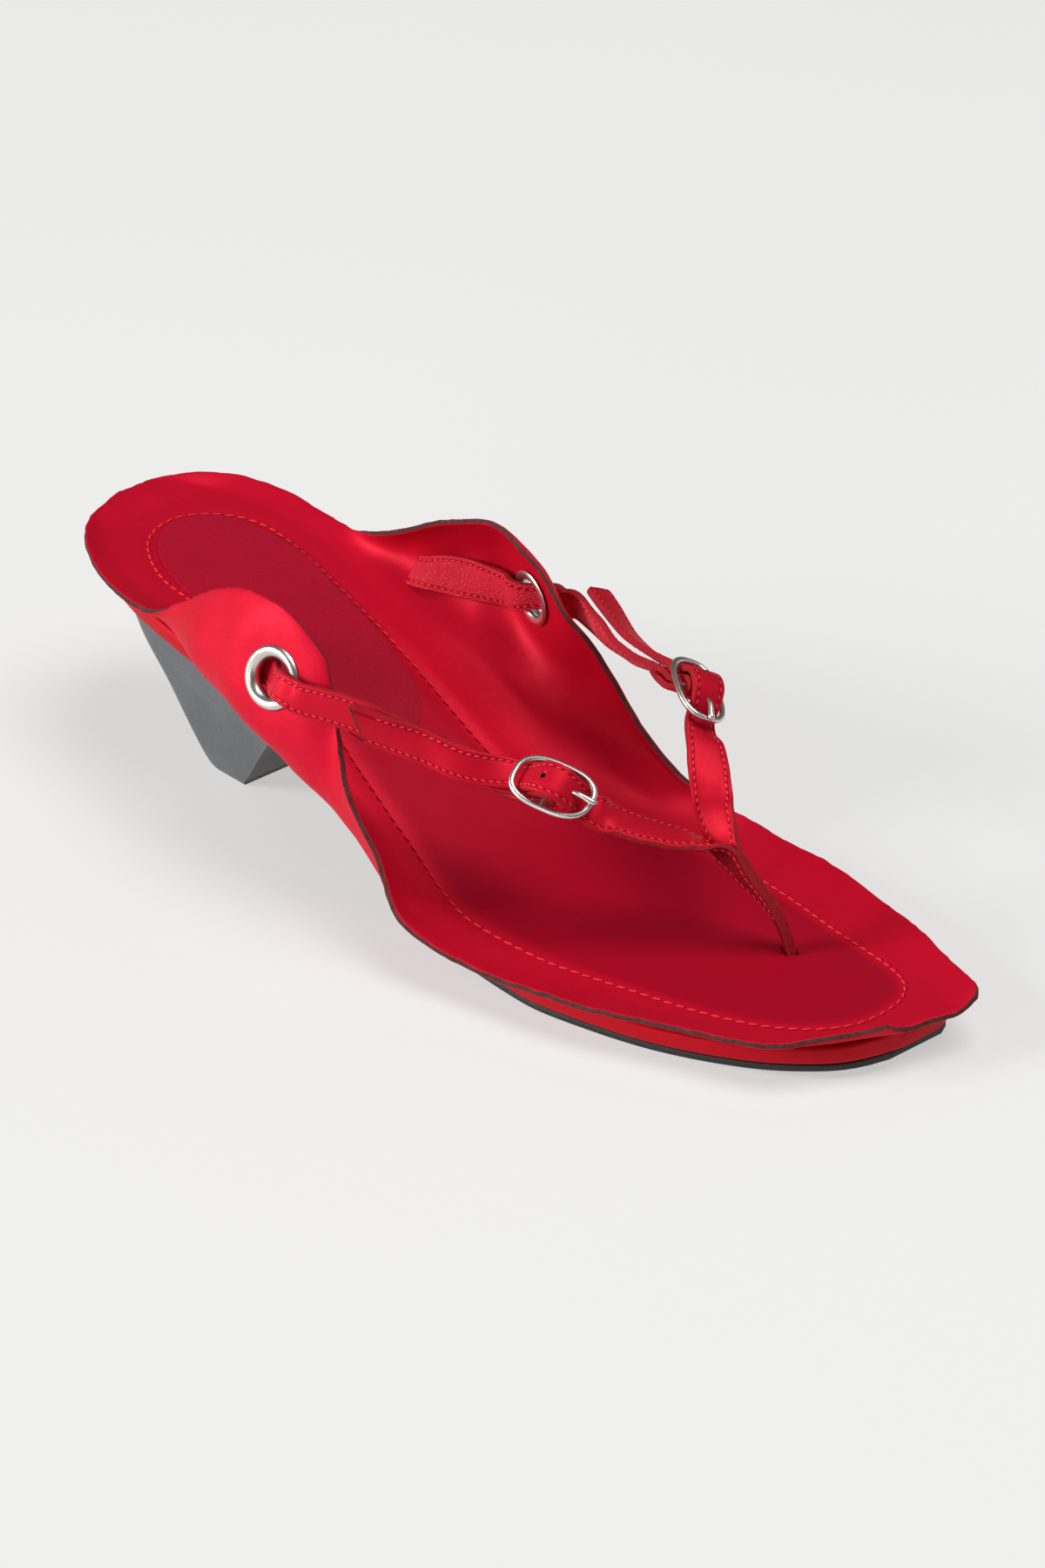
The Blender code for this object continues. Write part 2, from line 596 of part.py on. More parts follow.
def make_eyelet(fastening, collection, finish):
    """A metal eyelet: a barrel through the wing with a flange on each face."""
    half = SHEET_THICKNESS / 2 + GAP
    profile = ((EYELET_HOLE_RADIUS, -half - 0.3), (EYELET_HOLE_RADIUS + 0.4, -half - EYELET_BACK_FLANGE),
               (EYELET_BACK_RADIUS, -half - EYELET_BACK_FLANGE), (EYELET_BACK_RADIUS, -half),
               (EYELET_BARREL_RADIUS, -half), (EYELET_BARREL_RADIUS, half), (EYELET_RADIUS, half),
               (EYELET_RADIUS - 0.2, half + 0.4), (EYELET_RADIUS - 1.1, half + EYELET_FLANGE),
               (EYELET_HOLE_RADIUS + 1.2, half + EYELET_FLANGE), (EYELET_HOLE_RADIUS + 0.3, half + 0.5),
               (EYELET_HOLE_RADIUS, half))
    centre, normal, up = fastening.side.frame(*fastening.eyelet)
    across = up.cross(normal)
    rings = []
    for radius, height in profile:
        ring = []
        for i in range(EYELET_SEGMENTS):
            angle = math.tau * i / EYELET_SEGMENTS
            spoke = up * math.sin(angle) + across * math.cos(angle)
            ring.append(centre + normal * height + spoke * radius)
        rings.append(ring)
    count = EYELET_SEGMENTS
    faces = []
    for row in range(len(rings)):
        following_row = (row + 1) % len(rings)
        for i in range(count):
            j = (i + 1) % count
            faces.append((row * count + i, row * count + j,
                          following_row * count + j, following_row * count + i))
    name = "eyelet_" + fastening.name
    points = [point for ring in rings for point in ring]
    return add_object(name, mesh_of(name, points, faces), collection, finish)


def eyelet_cutter(fastening, cutters):
    """Round cutter for the eyelet's hole in the wing."""
    centre, normal, _ = fastening.side.frame(*fastening.eyelet)
    radius = EYELET_BARREL_RADIUS + GAP
    mesh = bpy.data.meshes.new("cut_eyelet_" + fastening.name)
    work = bmesh.new()
    turn = normal.to_track_quat("Z", "Y").to_matrix().to_4x4()
    bmesh.ops.create_cone(work, cap_ends=True, segments=EYELET_SEGMENTS, radius1=radius * MM,
                          radius2=radius * MM, depth=8 * MM, matrix=Matrix.Translation(centre * MM) @ turn)
    work.to_mesh(mesh)
    work.free()
    return add_object("cut_eyelet_" + fastening.name, mesh, cutters)


def slit_cutter(fastening, cutters):
    """Cutter for the blind slit that holds a side strap's end, with clearance around it."""
    route = side_strap_route(fastening)[:SLIT_CUT_POINTS]
    back = (route[0].centre - route[1].centre).normalized() * GAP * 3
    route[0] = route[0]._replace(centre=route[0].centre + back)
    name = "cut_slit_" + fastening.name
    return add_object(name, loft(name, ribbon_rings(route, STRAP_THICKNESS + 2 * GAP, 2 * GAP)), cutters)


def buckle_outline(frame):
    """Centre line of the buckle's wire."""
    power = 2 / BUCKLE_SQUARENESS
    outline = []
    for i in range(BUCKLE_SEGMENTS):
        angle = math.tau * i / BUCKLE_SEGMENTS
        across = math.copysign(abs(math.cos(angle)) ** power, math.cos(angle)) * BUCKLE_HALF_WIDTH
        along = math.copysign(abs(math.sin(angle)) ** power, math.sin(angle)) * BUCKLE_HALF_LENGTH
        outline.append(frame.at(along, 0.0, across))
    return outline


def prong_path(frame, overrun=0.0):
    """Centre line of the prong: round the bar, up through the strap, onto the frame.

    An overrun, in degrees round the bar, makes the path start earlier.
    """
    turn = WIRE_RADIUS + GAP + PRONG_RADIUS
    angles = [math.radians(degrees) for degrees in (230 + overrun, 200, 170, 140, 110)]
    places = [(turn * math.cos(angle), turn * math.sin(angle)) for angle in angles]
    return [frame.at(*place) for place in places + [(0.6, 1.9)] + list(PRONG_IN_BUCKLE)]


def make_buckle(fastening, collection, cutters, finish):
    """A buckle's frame with its bar, and its separate prong."""
    frame = BuckleFrame(fastening)
    name = "buckle_frame_" + fastening.name
    made = add_object(name, tube(name, buckle_outline(frame), WIRE_RADIUS, cyclic=True), collection, finish)
    bar_name = "bar_" + fastening.name
    ends = [frame.at(0.0, 0.0, -BUCKLE_HALF_WIDTH), frame.at(0.0, 0.0, BUCKLE_HALF_WIDTH)]
    boolean(made, add_object(bar_name, tube(bar_name, ends, WIRE_RADIUS), cutters), "UNION")
    prong_name = "buckle_prong_" + fastening.name
    add_object(prong_name, tube(prong_name, prong_path(frame), PRONG_RADIUS), collection, finish)


def make_side_strap(fastening, collection, finish):
    """A side strap as one ribbon."""
    name = "strap_" + fastening.name
    rings = ribbon_rings(side_strap_route(fastening), STRAP_THICKNESS)
    return add_object(name, loft(name, rings), collection, finish)


def make_yoke(collection, cutters, finish):
    """The yoke: two straps whose inner ends are bonded into the toe post."""
    arms = {}
    for fastening in FASTENINGS:
        rings = ribbon_rings(yoke_route(fastening), STRAP_THICKNESS)
        arms[fastening.name] = loft("arm_" + fastening.name, rings)
    yoke = add_object("thong_yoke", arms["lateral"], collection, finish)
    boolean(yoke, add_object("arm_medial", arms["medial"], cutters, finish), "UNION")
    return yoke


def post_cutter(cutters):
    """Cutter for the slit and the slot that the toe post goes down into."""
    route = list(POST_RUN[-3:])
    down = (route[-1].centre - route[-2].centre).normalized()
    route[-1] = route[-1]._replace(centre=route[-1].centre + down * 2 * GAP)
    thickness = POST_SPACINGS[-1] + STRAP_THICKNESS + 2 * GAP
    return add_object("cut_post", loft("cut_post", ribbon_rings(route, thickness, 2 * GAP)), cutters)


def remove_everything():
    """Start from an empty scene."""
    for existing in list(bpy.data.objects):
        bpy.data.objects.remove(existing, do_unlink=True)


def main():
    """Build the sandal."""
    remove_everything()
    sandal = bpy.data.collections.new("heeled_toe_post_sandal")
    cutters = bpy.data.collections.new("cutters")
    bpy.context.scene.collection.children.link(sandal)
    bpy.context.scene.collection.children.link(cutters)
    satin = material("satin_red", RED, 0.45)
    wrap = material("insole_wrap", DARK_RED, 0.5)
    block = material("heel_charcoal", CHARCOAL, 0.45)
    black = material("sole_black", SOLE_BLACK, 0.6)
    metal = material("nickel", NICKEL, 0.2, metallic=1.0)

    sheet = make_sheet(sandal, satin)
    insole_top = SHEET_THICKNESS + GAP
    insole_bottom = insole_top + INSOLE_THICKNESS
    outsole_top = insole_bottom + GAP
    toe_steps = [188, 193, 196, 198.5, 200.5, 201.8, 202.6]
    insole = make_sole_layer("insole", sandal, wrap, [-38, -36.5, -34, -30, -25] + stations(-18, 182, 6.9)
                             + toe_steps, (insole_top, insole_bottom), 0.0, 0.6)
    outsole = make_sole_layer("outsole", sandal, black, stations(OUTSOLE_BACK, 182, 6.9)
                              + [step - OUTSOLE_INSET for step in toe_steps],
                              (outsole_top, outsole_top + OUTSOLE_THICKNESS), OUTSOLE_INSET, 0.3)
    heel_rings = [heel_ring(row, outsole_top) for row in HEEL]
    add_object("heel_block", loft("heel_block", heel_rings), sandal, block)

    yoke = make_yoke(sandal, cutters, satin)
    post = post_cutter(cutters)
    boolean(sheet, post)
    boolean(insole, post)
    for fastening in FASTENINGS:
        strap = make_side_strap(fastening, sandal, satin)
        make_eyelet(fastening, sandal, metal)
        make_buckle(fastening, sandal, cutters, metal)
        boolean(sheet, eyelet_cutter(fastening, cutters))
        boolean(sheet, slit_cutter(fastening, cutters))
        name = "cut_prong_" + fastening.name
        path = prong_path(BuckleFrame(fastening), overrun=25)
        prong_room = add_object(name, tube(name, path, PRONG_RADIUS + GAP), cutters)
        boolean(strap, prong_room)
        boolean(yoke, prong_room)


main()
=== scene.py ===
"""Finished look of the heeled toe-post sandal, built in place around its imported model.

One satin-faced leather sheet covers the footbed and rises into two wings. A strap leaves
each wing through an eyelet and ends in a loop on a buckle's bar, and a two-armed yoke,
which forms the toe post, passes through both buckles.

Axes: +X is the outer side, +Y points to the toe, +Z is up, and the origin is under the
heel's foot on the floor. Tables and lengths are in millimetres. Meshes are in metres.
"""
import logging
import math
from dataclasses import dataclass, field
from enum import Enum, IntEnum
from typing import Callable, NamedTuple, Sequence

import bmesh
import bpy
import numpy as np
from mathutils import Matrix, Vector, noise


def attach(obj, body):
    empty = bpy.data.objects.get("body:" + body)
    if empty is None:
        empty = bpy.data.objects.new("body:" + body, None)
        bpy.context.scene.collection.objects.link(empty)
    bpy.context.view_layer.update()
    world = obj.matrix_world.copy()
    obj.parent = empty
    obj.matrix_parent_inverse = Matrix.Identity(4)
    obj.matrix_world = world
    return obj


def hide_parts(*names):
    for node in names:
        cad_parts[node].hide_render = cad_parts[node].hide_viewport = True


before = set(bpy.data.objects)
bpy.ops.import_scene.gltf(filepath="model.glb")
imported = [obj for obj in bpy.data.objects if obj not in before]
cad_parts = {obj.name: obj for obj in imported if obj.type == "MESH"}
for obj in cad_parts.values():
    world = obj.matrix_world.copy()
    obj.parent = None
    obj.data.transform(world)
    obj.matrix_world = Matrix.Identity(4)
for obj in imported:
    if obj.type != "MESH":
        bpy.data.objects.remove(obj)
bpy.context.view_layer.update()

LOG = logging.getLogger("sandal")

MM = 0.001
BODY = "root"
GAP = 0.3                               # clearance between neighbouring pieces

SHEET_THICKNESS = 1.5
INSOLE_THICKNESS = 4.4
OUTSOLE_THICKNESS = 1.7
OUTSOLE_INSET = 0.8
OUTSOLE_BACK = 41.0

STRAP_THICKNESS = 1.6
STRAP_WIDTH = 7.8
LOOP_WIDTH = 7.6
INNER_RUN_WIDTHS = (7.4, 7.8, 9.6)      # in the slit, just out of it, and halfway to the eyelet
INNER_RUN_GAPS = (0.6, 1.0)             # the last two's further distance from the wing
SLIT_END_DEPTH = 0.6
SLIT_EXIT = (4.0, 0.02)                 # how far out of its slit a strap lies free, along and up
INNER_RUN_MIDDLE = (0.36, 0.4)          # shares of the way from slit to eyelet, along and up
POST_SPACINGS = (1.5, 1.3, 1.05, 0.85, 0.7, 0.7)    # between the post's bonded layers, going down
STRAP_STEP = 0.8                        # distance between a strap's cross-sections
WIDTH_REACH = 2.4                       # a strap's width is averaged over this far each way
STITCH_INSET = 1.15                     # a strap's sewn lines lie this far in from its edges
STITCH_SPREAD = 0.12                    # stitches are up to this share longer or shorter
SKEW_START = -5.0                       # along the frame: behind this a skewed strap turns aside
TIP_START = 0.25                        # a strap's first cross-section is this far inside its tip
TIP_SQUARENESS = 2.6

EYELET_BARREL_RADIUS = 5.1
EYELET_FLAT_RADIUS = 8.4
EYELET_BLEND_RADIUS = 20.0

WIRE_RADIUS = 0.75
BUCKLE_HALF_WIDTH = 5.65
BUCKLE_HALF_LENGTH = 9.5
BUCKLE_SQUARENESS = 2.7
PRONG_RADIUS = 0.6

LOW_START = 0.10                        # height of a wing's lower handle, a share of its climb
LOW_DIP = 0.018                         # and how much of it each unit of bulge takes off
BRIM_LIFT = 1.7                         # height of the brim behind the heel over the footbed
BRIM_LIFT_START = -38.0
BRIM_LIFT_FULL = -49.5
TOE_SLANT = -0.25
TOE_SLANT_START = 165.0
TOE_SLANT_FULL = 200.0
TOE_CENTRE_X = -18.0

NOISE_SEED = 7                          # of the uneven edges and ribbons, the same each run

BMesh = bmesh.types.BMesh
Object = bpy.types.Object
Material = bpy.types.Material
Socket = bpy.types.NodeSocket
Ring = list[Vector]


# ---- shape tables

class Height(NamedTuple):
    """Top of the covered footbed at one distance along the shoe."""
    y: float
    z: float


class Flank(NamedTuple):
    """One side of the sheet: where it leaves the insole, and where its raw edge is."""
    y: float
    hinge: float
    edge: float
    rise: float
    bulge: float


class SoleWidth(NamedTuple):
    """Edges of the insole at one distance along the shoe."""
    y: float
    inner: float
    outer: float


class HeelLevel(NamedTuple):
    """Plan of the heel block at one level, from 0 at its foot to 1 at its top."""
    level: float
    inner: float
    outer: float
    back: float
    front: float
    roundness: float


class RoutePoint(NamedTuple):
    """A strap's centre, the direction of its width, and its width."""
    centre: Vector
    across: Vector
    width: float


FOOTBED = (
    Height(-50, 50.2), Height(-34, 49.1), Height(-10, 47.1), Height(10, 44.9),
    Height(28, 41.6), Height(44, 36.5), Height(60, 29.1), Height(76, 21.0),
    Height(90, 15.2), Height(104, 11.4), Height(118, 9.3), Height(132, 8.2),
    Height(158, 8.2), Height(178, 9.1), Height(198, 10.6), Height(212, 11.8),
)

OUTER_FLANK = (
    Flank(-50, 0.5, 2, 1.7, 0), Flank(-48.4, 4, 7.5, 1.7, 0), Flank(-45, 10, 15.5, 1.6, 0),
    Flank(-36, 18, 23.5, 1.2, 0), Flank(-20, 23, 29.5, 0.7, 0), Flank(-4, 24, 31.2, 2.4, 0.6),
    Flank(10, 24, 30.4, 11, 5), Flank(24, 23.4, 30.2, 22.2, 10.2), Flank(38, 22.6, 30.3, 30.6, 12),
    Flank(50, 22.5, 29.5, 33.8, 12), Flank(60, 23, 29, 32.4, 11.4), Flank(69, 23.5, 33, 20.8, 7.7),
    Flank(77, 24, 37.7, 15.1, 5.4), Flank(88, 26.5, 39.5, 10.2, 4.3),
    Flank(100, 29, 42.7, 2.7, 2.2), Flank(118, 28, 40, 1.5, 0.5),
    Flank(144, 22.5, 34.3, 2.8, 0.3), Flank(168, 14, 24.8, 2.4, 0.3),
    Flank(190, 5.5, 18, 2.2, 0.3), Flank(200, -0.5, 12.5, 2.2, 0.2), Flank(203, -7, 3, 2.2, 0.1),
    Flank(205.5, -13, -8, 2.2, 0),
)

INNER_FLANK = (
    Flank(-50, 3, 5, 1.7, 0), Flank(-48.4, 8, 11.5, 1.8, 0), Flank(-45, 13, 18.5, 1.9, 0),
    Flank(-36, 19.5, 26, 2, 0), Flank(-20, 22.5, 29.8, 2, 0), Flank(-4, 22.5, 29.5, 3, 0.5),
    Flank(8, 21.5, 28, 7.3, 2.8), Flank(20, 18, 27.5, 14.5, 7.7), Flank(36, 14.6, 29.1, 26.5, 11.9),
    Flank(50, 13.5, 31.1, 35, 12.5), Flank(60, 13.5, 28.6, 36.9, 12.9),
    Flank(70, 14, 29, 34.4, 12.2), Flank(78, 15.5, 34.5, 27.6, 9.6),
    Flank(86, 19, 38.2, 18, 7.2), Flank(96, 26, 40.8, 9.5, 5.1),
    Flank(107, 33, 46.2, 3.4, 2.2), Flank(120, 38, 49.5, 2.2, 0.7),
    Flank(144, 38.5, 48.6, 3.8, 0.4), Flank(168, 35.5, 46, 2.2, 0.3),
    Flank(190, 29.5, 38.3, 1.8, 0.2), Flank(200, 27, 34.5, 2.2, 0.1),
    Flank(205.5, 25.5, 30, 2.8, 0),
)

INSOLE = (
    SoleWidth(-38, -8, 8), SoleWidth(-36, -14, 14), SoleWidth(-31, -19.5, 20),
    SoleWidth(-22, -24.2, 24.8), SoleWidth(-8, -25.4, 27.8), SoleWidth(10, -24, 29.2),
    SoleWidth(32, -20.5, 28.6), SoleWidth(55, -17.2, 26.5), SoleWidth(74, -17.6, 27.2),
    SoleWidth(92, -25, 30.2), SoleWidth(108, -36, 32.4), SoleWidth(128, -41.8, 31.4),
    SoleWidth(148, -41.4, 27.4), SoleWidth(168, -38.6, 20.6), SoleWidth(184, -35.6, 12.8),
    SoleWidth(193, -33.6, 6), SoleWidth(198, -31.6, 0.5), SoleWidth(201, -29, -6),
    SoleWidth(202.6, -25, -13),
)

HEEL = (
    HeelLevel(0.0, -14.0, 14.0, -4.6, 9.0, 4.0), HeelLevel(0.03, -14.6, 14.6, -6.4, 9.6, 5.0),
    HeelLevel(0.12, -15.8, 15.9, -8.6, 13.0, 6.5), HeelLevel(0.55, -20.0, 20.6, -16.2, 26.0, 10.0),
    HeelLevel(0.85, -23.2, 24.9, -20.6, 35.5, 13.0), HeelLevel(1.0, -24.6, 26.6, -22.6, 39.5, 15.0),
)

# The sewn line around the footbed, and the outline of the heel pad, in plan.
SEAM_LINE = (
    (0, -34), (10, -29.5), (17, -17), (18.6, -2), (18, 40), (21, 60), (23.5, 82), (27, 100),
    (27, 109), (23.5, 128), (17, 152), (10, 175.5), (3, 188), (-5, 194.5), (-14, 195.8),
    (-23, 193), (-29, 184), (-33, 160), (-36, 132), (-33, 114), (-22, 96.5), (-13, 82),
    (-10.3, 60), (-11.8, 26), (-16.5, -8), (-15.5, -22), (-9, -31),
)
PAD_LINE = (
    (17.2, -4.8), (14.9, -16.2), (9, -27), (-1, -32.5), (-11, -28), (-15.8, -9.1), (-13.1, 11.6),
    (-9.3, 36), (-4.5, 53), (5, 58.5), (14.4, 57), (18.6, 42), (20.4, 16.6),
)


def monotone_slopes(xs: Sequence[float], ys: Sequence[float]) -> list[float]:
    """Slopes of a cubic through the samples that doesn't overshoot them.

    Args:
        xs: Increasing places of the samples.
        ys: Values of the samples.

    Returns:
        One slope for each sample.
    """
    steps = [(y1 - y0) / (x1 - x0) for x0, x1, y0, y1 in zip(xs, xs[1:], ys, ys[1:])]
    slopes = [steps[0]]
    for before, after in zip(steps, steps[1:]):
        slopes.append(0.0 if before * after <= 0 else 2 * before * after / (before + after))
    slopes.append(steps[-1])
    return slopes


class Curve:
    """A smooth function through one column of a table, flat past its ends."""

    def __init__(self, table: Sequence[NamedTuple], column: str) -> None:
        """Read the table's first column as places and the named one as values."""
        self.xs = [float(row[0]) for row in table]
        self.ys = [float(getattr(row, column)) for row in table]
        self.slopes = monotone_slopes(self.xs, self.ys)

    def __call__(self, x: float) -> float:
        """Value at one place."""
        if x <= self.xs[0]:
            return self.ys[0]
        if x >= self.xs[-1]:
            return self.ys[-1]
        index = max(i for i, start in enumerate(self.xs) if start <= x)
        span = self.xs[index + 1] - self.xs[index]
        t = (x - self.xs[index]) / span
        rise = self.ys[index + 1] - self.ys[index]
        start_slope = self.slopes[index] * span
        end_slope = self.slopes[index + 1] * span
        return (self.ys[index] + start_slope * t + (3 * rise - 2 * start_slope - end_slope) * t ** 2
                + (start_slope + end_slope - 2 * rise) * t ** 3)


footbed_height = Curve(FOOTBED, "z")


def layer_height(y: float, depth: float) -> float:
    """Height of a layer that lies a given depth below the footbed's top, square to it."""
    slope = footbed_height(y + 0.5) - footbed_height(y - 0.5)
    return footbed_height(y) - depth * math.hypot(1.0, slope)


def footbed_normal(y: float) -> Vector:
    """Upward normal of the footbed's top at one distance along the shoe."""
    slope = footbed_height(y + 0.5) - footbed_height(y - 0.5)
    return Vector((0.0, -slope, 1.0)).normalized()


def smooth_step(share: float) -> float:
    """Ease from 0 to 1, clamped outside."""
    share = min(max(share, 0.0), 1.0)
    return share * share * (3 - 2 * share)


def slanted(y: float, x: float) -> float:
    """Turn the rows near the toe so that the last one is the toe's slanted edge."""
    share = (y - TOE_SLANT_START) / (TOE_SLANT_FULL - TOE_SLANT_START)
    return y + TOE_SLANT * min(max(share, 0.0), 1.0) * (x - TOE_CENTRE_X)


def catmull_rom(knots: Sequence[Vector], t: float) -> Vector:
    """Point between the two middle ones of four knots."""
    weights = (-t / 2 + t * t - t ** 3 / 2, 1 - 2.5 * t * t + 1.5 * t ** 3,
               t / 2 + 2 * t * t - 1.5 * t ** 3, (t ** 3 - t * t) / 2)
    return sum((knot * weight for knot, weight in zip(knots, weights)), Vector((0, 0, 0)))


def closed_plan_curve(corners: Sequence[tuple[float, float]], per_span: int) -> Ring:
    """Smooth closed curve in plan through a short list of corners."""
    knots = [Vector((x, y, 0)) for x, y in corners]
    count = len(knots)
    return [catmull_rom([knots[(i + shift) % count] for shift in (-1, 0, 1, 2)], step / per_span)
            for i in range(count) for step in range(per_span)]


def evenly_spaced(points: Ring, pitch: float, closed: bool) -> Ring:
    """Points at equal distances along a line.

    Args:
        points: The line's points, close together.
        pitch: Distance wanted between two points. It is adjusted to fit a whole number.
        closed: Whether the line runs back to its start.

    Returns:
        The new points.
    """
    line = points + [points[0]] if closed else points
    lengths = [0.0]
    for start, end in zip(line, line[1:]):
        lengths.append(lengths[-1] + (end - start).length)
    count = max(1, round(lengths[-1] / pitch))
    spaced, index = [], 0
    for i in range(count if closed else count + 1):
        wanted = lengths[-1] * i / count
        while index < len(lengths) - 2 and lengths[index + 1] < wanted:
            index += 1
        span = max(lengths[index + 1] - lengths[index], 1e-9)
        spaced.append(line[index].lerp(line[index + 1], (wanted - lengths[index]) / span))
    return spaced


# ---- mesh operations

class MeshTool:
    """Makes finished objects from bmesh work in millimetres."""

    @staticmethod
    def finish(name: str, work: BMesh, materials: Sequence[Material],
               sharp_degrees: float = 40.0) -> Object:
        """Scale a bmesh to metres, shade it smooth and put it in the scene.

        Args:
            name: Name of the object.
            work: The bmesh, in millimetres. It is freed.
            materials: Materials in the order of the faces' indices.
            sharp_degrees: Edges that turn more than this stay sharp.

        Returns:
            The object, at the origin.
        """
        bmesh.ops.scale(work, vec=(MM, MM, MM), verts=work.verts)
        for face in work.faces:
            face.smooth = True
        mesh = bpy.data.meshes.new(name)
        work.to_mesh(mesh)
        work.free()
        for finish in materials:
            mesh.materials.append(finish)
        mesh.set_sharp_from_angle(angle=math.radians(sharp_degrees))
        made = bpy.data.objects.new(name, mesh)
        bpy.context.scene.collection.objects.link(made)
        return made

    @staticmethod
    def modify(target: Object, kind: str, **settings: object) -> bpy.types.Modifier:
        """Add a modifier with its settings."""
        modifier = target.modifiers.new(kind.lower(), kind)
        for key, value in settings.items():
            setattr(modifier, key, value)
        return modifier

    @classmethod
    def soften(cls, target: Object, width: float, segments: int, degrees: float) -> None:
        """Bevel the edges of an object that turn more than an angle."""
        cls.modify(target, "BEVEL", width=width * MM, segments=segments, limit_method="ANGLE",
                   angle_limit=math.radians(degrees))

    @staticmethod
    def grid(work: BMesh, columns: int, rows: int, place: Callable[[int, int], Vector],
             paint: Callable[[int, int], int] | None = None) -> list[bmesh.types.BMVert]:
        """Add a grid and bend it to a surface, with its UV map in metres.

        Args:
            work: The bmesh to add to.
            columns: Number of faces across.
            rows: Number of faces along.
            place: Gives the point of a column and a row.
            paint: Gives the material index of the face after a column and a row.

        Returns:
            The grid's vertices.
        """
        layer = work.loops.layers.uv.verify()
        made = bmesh.ops.create_grid(work, x_segments=columns, y_segments=rows, size=0.5)["verts"]
        spot = {vert: (round((vert.co.x + 0.5) * columns), round((vert.co.y + 0.5) * rows))
                for vert in made}
        points = {key: place(*key) for key in spot.values()}
        middle_row, middle_column = rows // 2, columns // 2
        across, along = [0.0], [0.0]
        for i in range(columns):
            step = points[(i + 1, middle_row)] - points[(i, middle_row)]
            across.append(across[-1] + step.length)
        for i in range(rows):
            step = points[(middle_column, i + 1)] - points[(middle_column, i)]
            along.append(along[-1] + step.length)
        for face in {face for vert in made for face in vert.link_faces}:
            corner = tuple(min(spot[vert][side] for vert in face.verts) for side in (0, 1))
            if paint:
                face.material_index = paint(*corner)
            for loop in face.loops:
                column, row = spot[loop.vert]
                loop[layer].uv = (across[column] * MM, along[row] * MM)
        for vert in made:
            vert.co = points[spot[vert]]
        return made

    @classmethod
    def sweep(cls, work: BMesh, rings: Sequence[Ring],
              paint: Callable[[int, int], int] | None = None, closed: bool = False,
              cap_paint: int = 0) -> None:
        """Add a solid through closed rings of equal length, with its faces outwards.

        Args:
            work: The bmesh to add to.
            rings: Cross-sections in order.
            paint: Gives the material index of the face after a ring point and a ring.
            closed: Whether the last ring joins the first, as in a hoop.
            cap_paint: Material index of the two end faces.
        """
        around = len(rings[0])
        rows = list(rings) + [rings[0]] if closed else list(rings)
        part = bmesh.new()
        cls.grid(part, around, len(rows) - 1, lambda i, j: rows[j][i % around], paint)
        bmesh.ops.remove_doubles(part, verts=part.verts, dist=1e-5)
        if not closed:
            filled = bmesh.ops.holes_fill(part, edges=part.edges, sides=0)["faces"]
            for face in filled:
                face.material_index = cap_paint
        bmesh.ops.recalc_face_normals(part, faces=part.faces)
        cls.merge(work, part)

    @staticmethod
    def merge(work: BMesh, part: BMesh) -> None:
        """Add one bmesh to another and free it."""
        carrier = bpy.data.meshes.new("carrier")
        part.to_mesh(carrier)
        part.free()
        work.from_mesh(carrier)
        bpy.data.meshes.remove(carrier)

    @staticmethod
    def wire(points: Ring, reference: Vector, radius: float | Callable[[int], float],
             closed: bool = False, segments: int = 14) -> list[Ring]:
        """Round cross-sections along a line that isn't parallel to the reference.

        Args:
            points: Centre line.
            reference: Direction that the cross-sections are laid out from.
            radius: Radius, or a function of the point's index.
            closed: Whether the line is a loop.
            segments: Points in a cross-section.

        Returns:
            One ring for each point.
        """
        count, rings = len(points), []
        for i, point in enumerate(points):
            ahead = points[(i + 1) % count] if closed else points[min(i + 1, count - 1)]
            behind = points[i - 1] if closed or i else points[0]
            tangent = (ahead - behind).normalized()
            side = reference.cross(tangent).normalized()
            up = tangent.cross(side)
            size = radius(i) if callable(radius) else radius
            rings.append([point + side * math.cos(turn) * size + up * math.sin(turn) * size
                          for turn in (math.tau * k / segments for k in range(segments))])
        return rings

    @classmethod
    def punch(cls, centre: Vector, axis: Vector, radius: float, depth: float, segments: int,
              materials: Sequence[Material]) -> Object:
        """Round cutter, whose material is left on the walls of the hole."""
        work = bmesh.new()
        turn = axis.to_track_quat("Z", "Y").to_matrix().to_4x4()
        bmesh.ops.create_cone(work, cap_ends=True, segments=segments, radius1=radius,
                              radius2=radius, depth=depth, matrix=Matrix.Translation(centre) @ turn)
        return cls.finish("hole_cutter", work, materials)

    @classmethod
    def cut(cls, target: Object, tool: Object) -> None:
        """Cut one object out of another at once and remove the tool."""
        cls.modify(target, "BOOLEAN", operation="DIFFERENCE", solver="EXACT",
                   material_mode="TRANSFER", object=tool)
        cls.apply_modifiers(target)
        bpy.data.objects.remove(tool, do_unlink=True)

    @staticmethod
    def apply_modifiers(target: Object) -> None:
        """Replace an object's mesh by what its modifiers make of it."""
        graph = bpy.context.evaluated_depsgraph_get()
        mesh = bpy.data.meshes.new_from_object(target.evaluated_get(graph), depsgraph=graph)
        target.modifiers.clear()
        target.data = mesh


def register(piece: Object, slot: str, *nodes: str) -> None:
    """Put a piece on the shoe's body, hide the CAD nodes that it stands for, and log its faces."""
    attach(piece, BODY)
    if nodes:
        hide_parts(*nodes)
    LOG.info("%s: %d faces", piece.name, len(piece.data.polygons))


# ---- finishes

Colour = tuple[float, float, float, float]


class Slot(Enum):
    """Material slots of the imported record."""
    SATIN = "satin_red"
    WRAP = "insole_wrap"
    HEEL = "heel_charcoal"
    SOLE = "sole_black"
    METAL = "nickel"


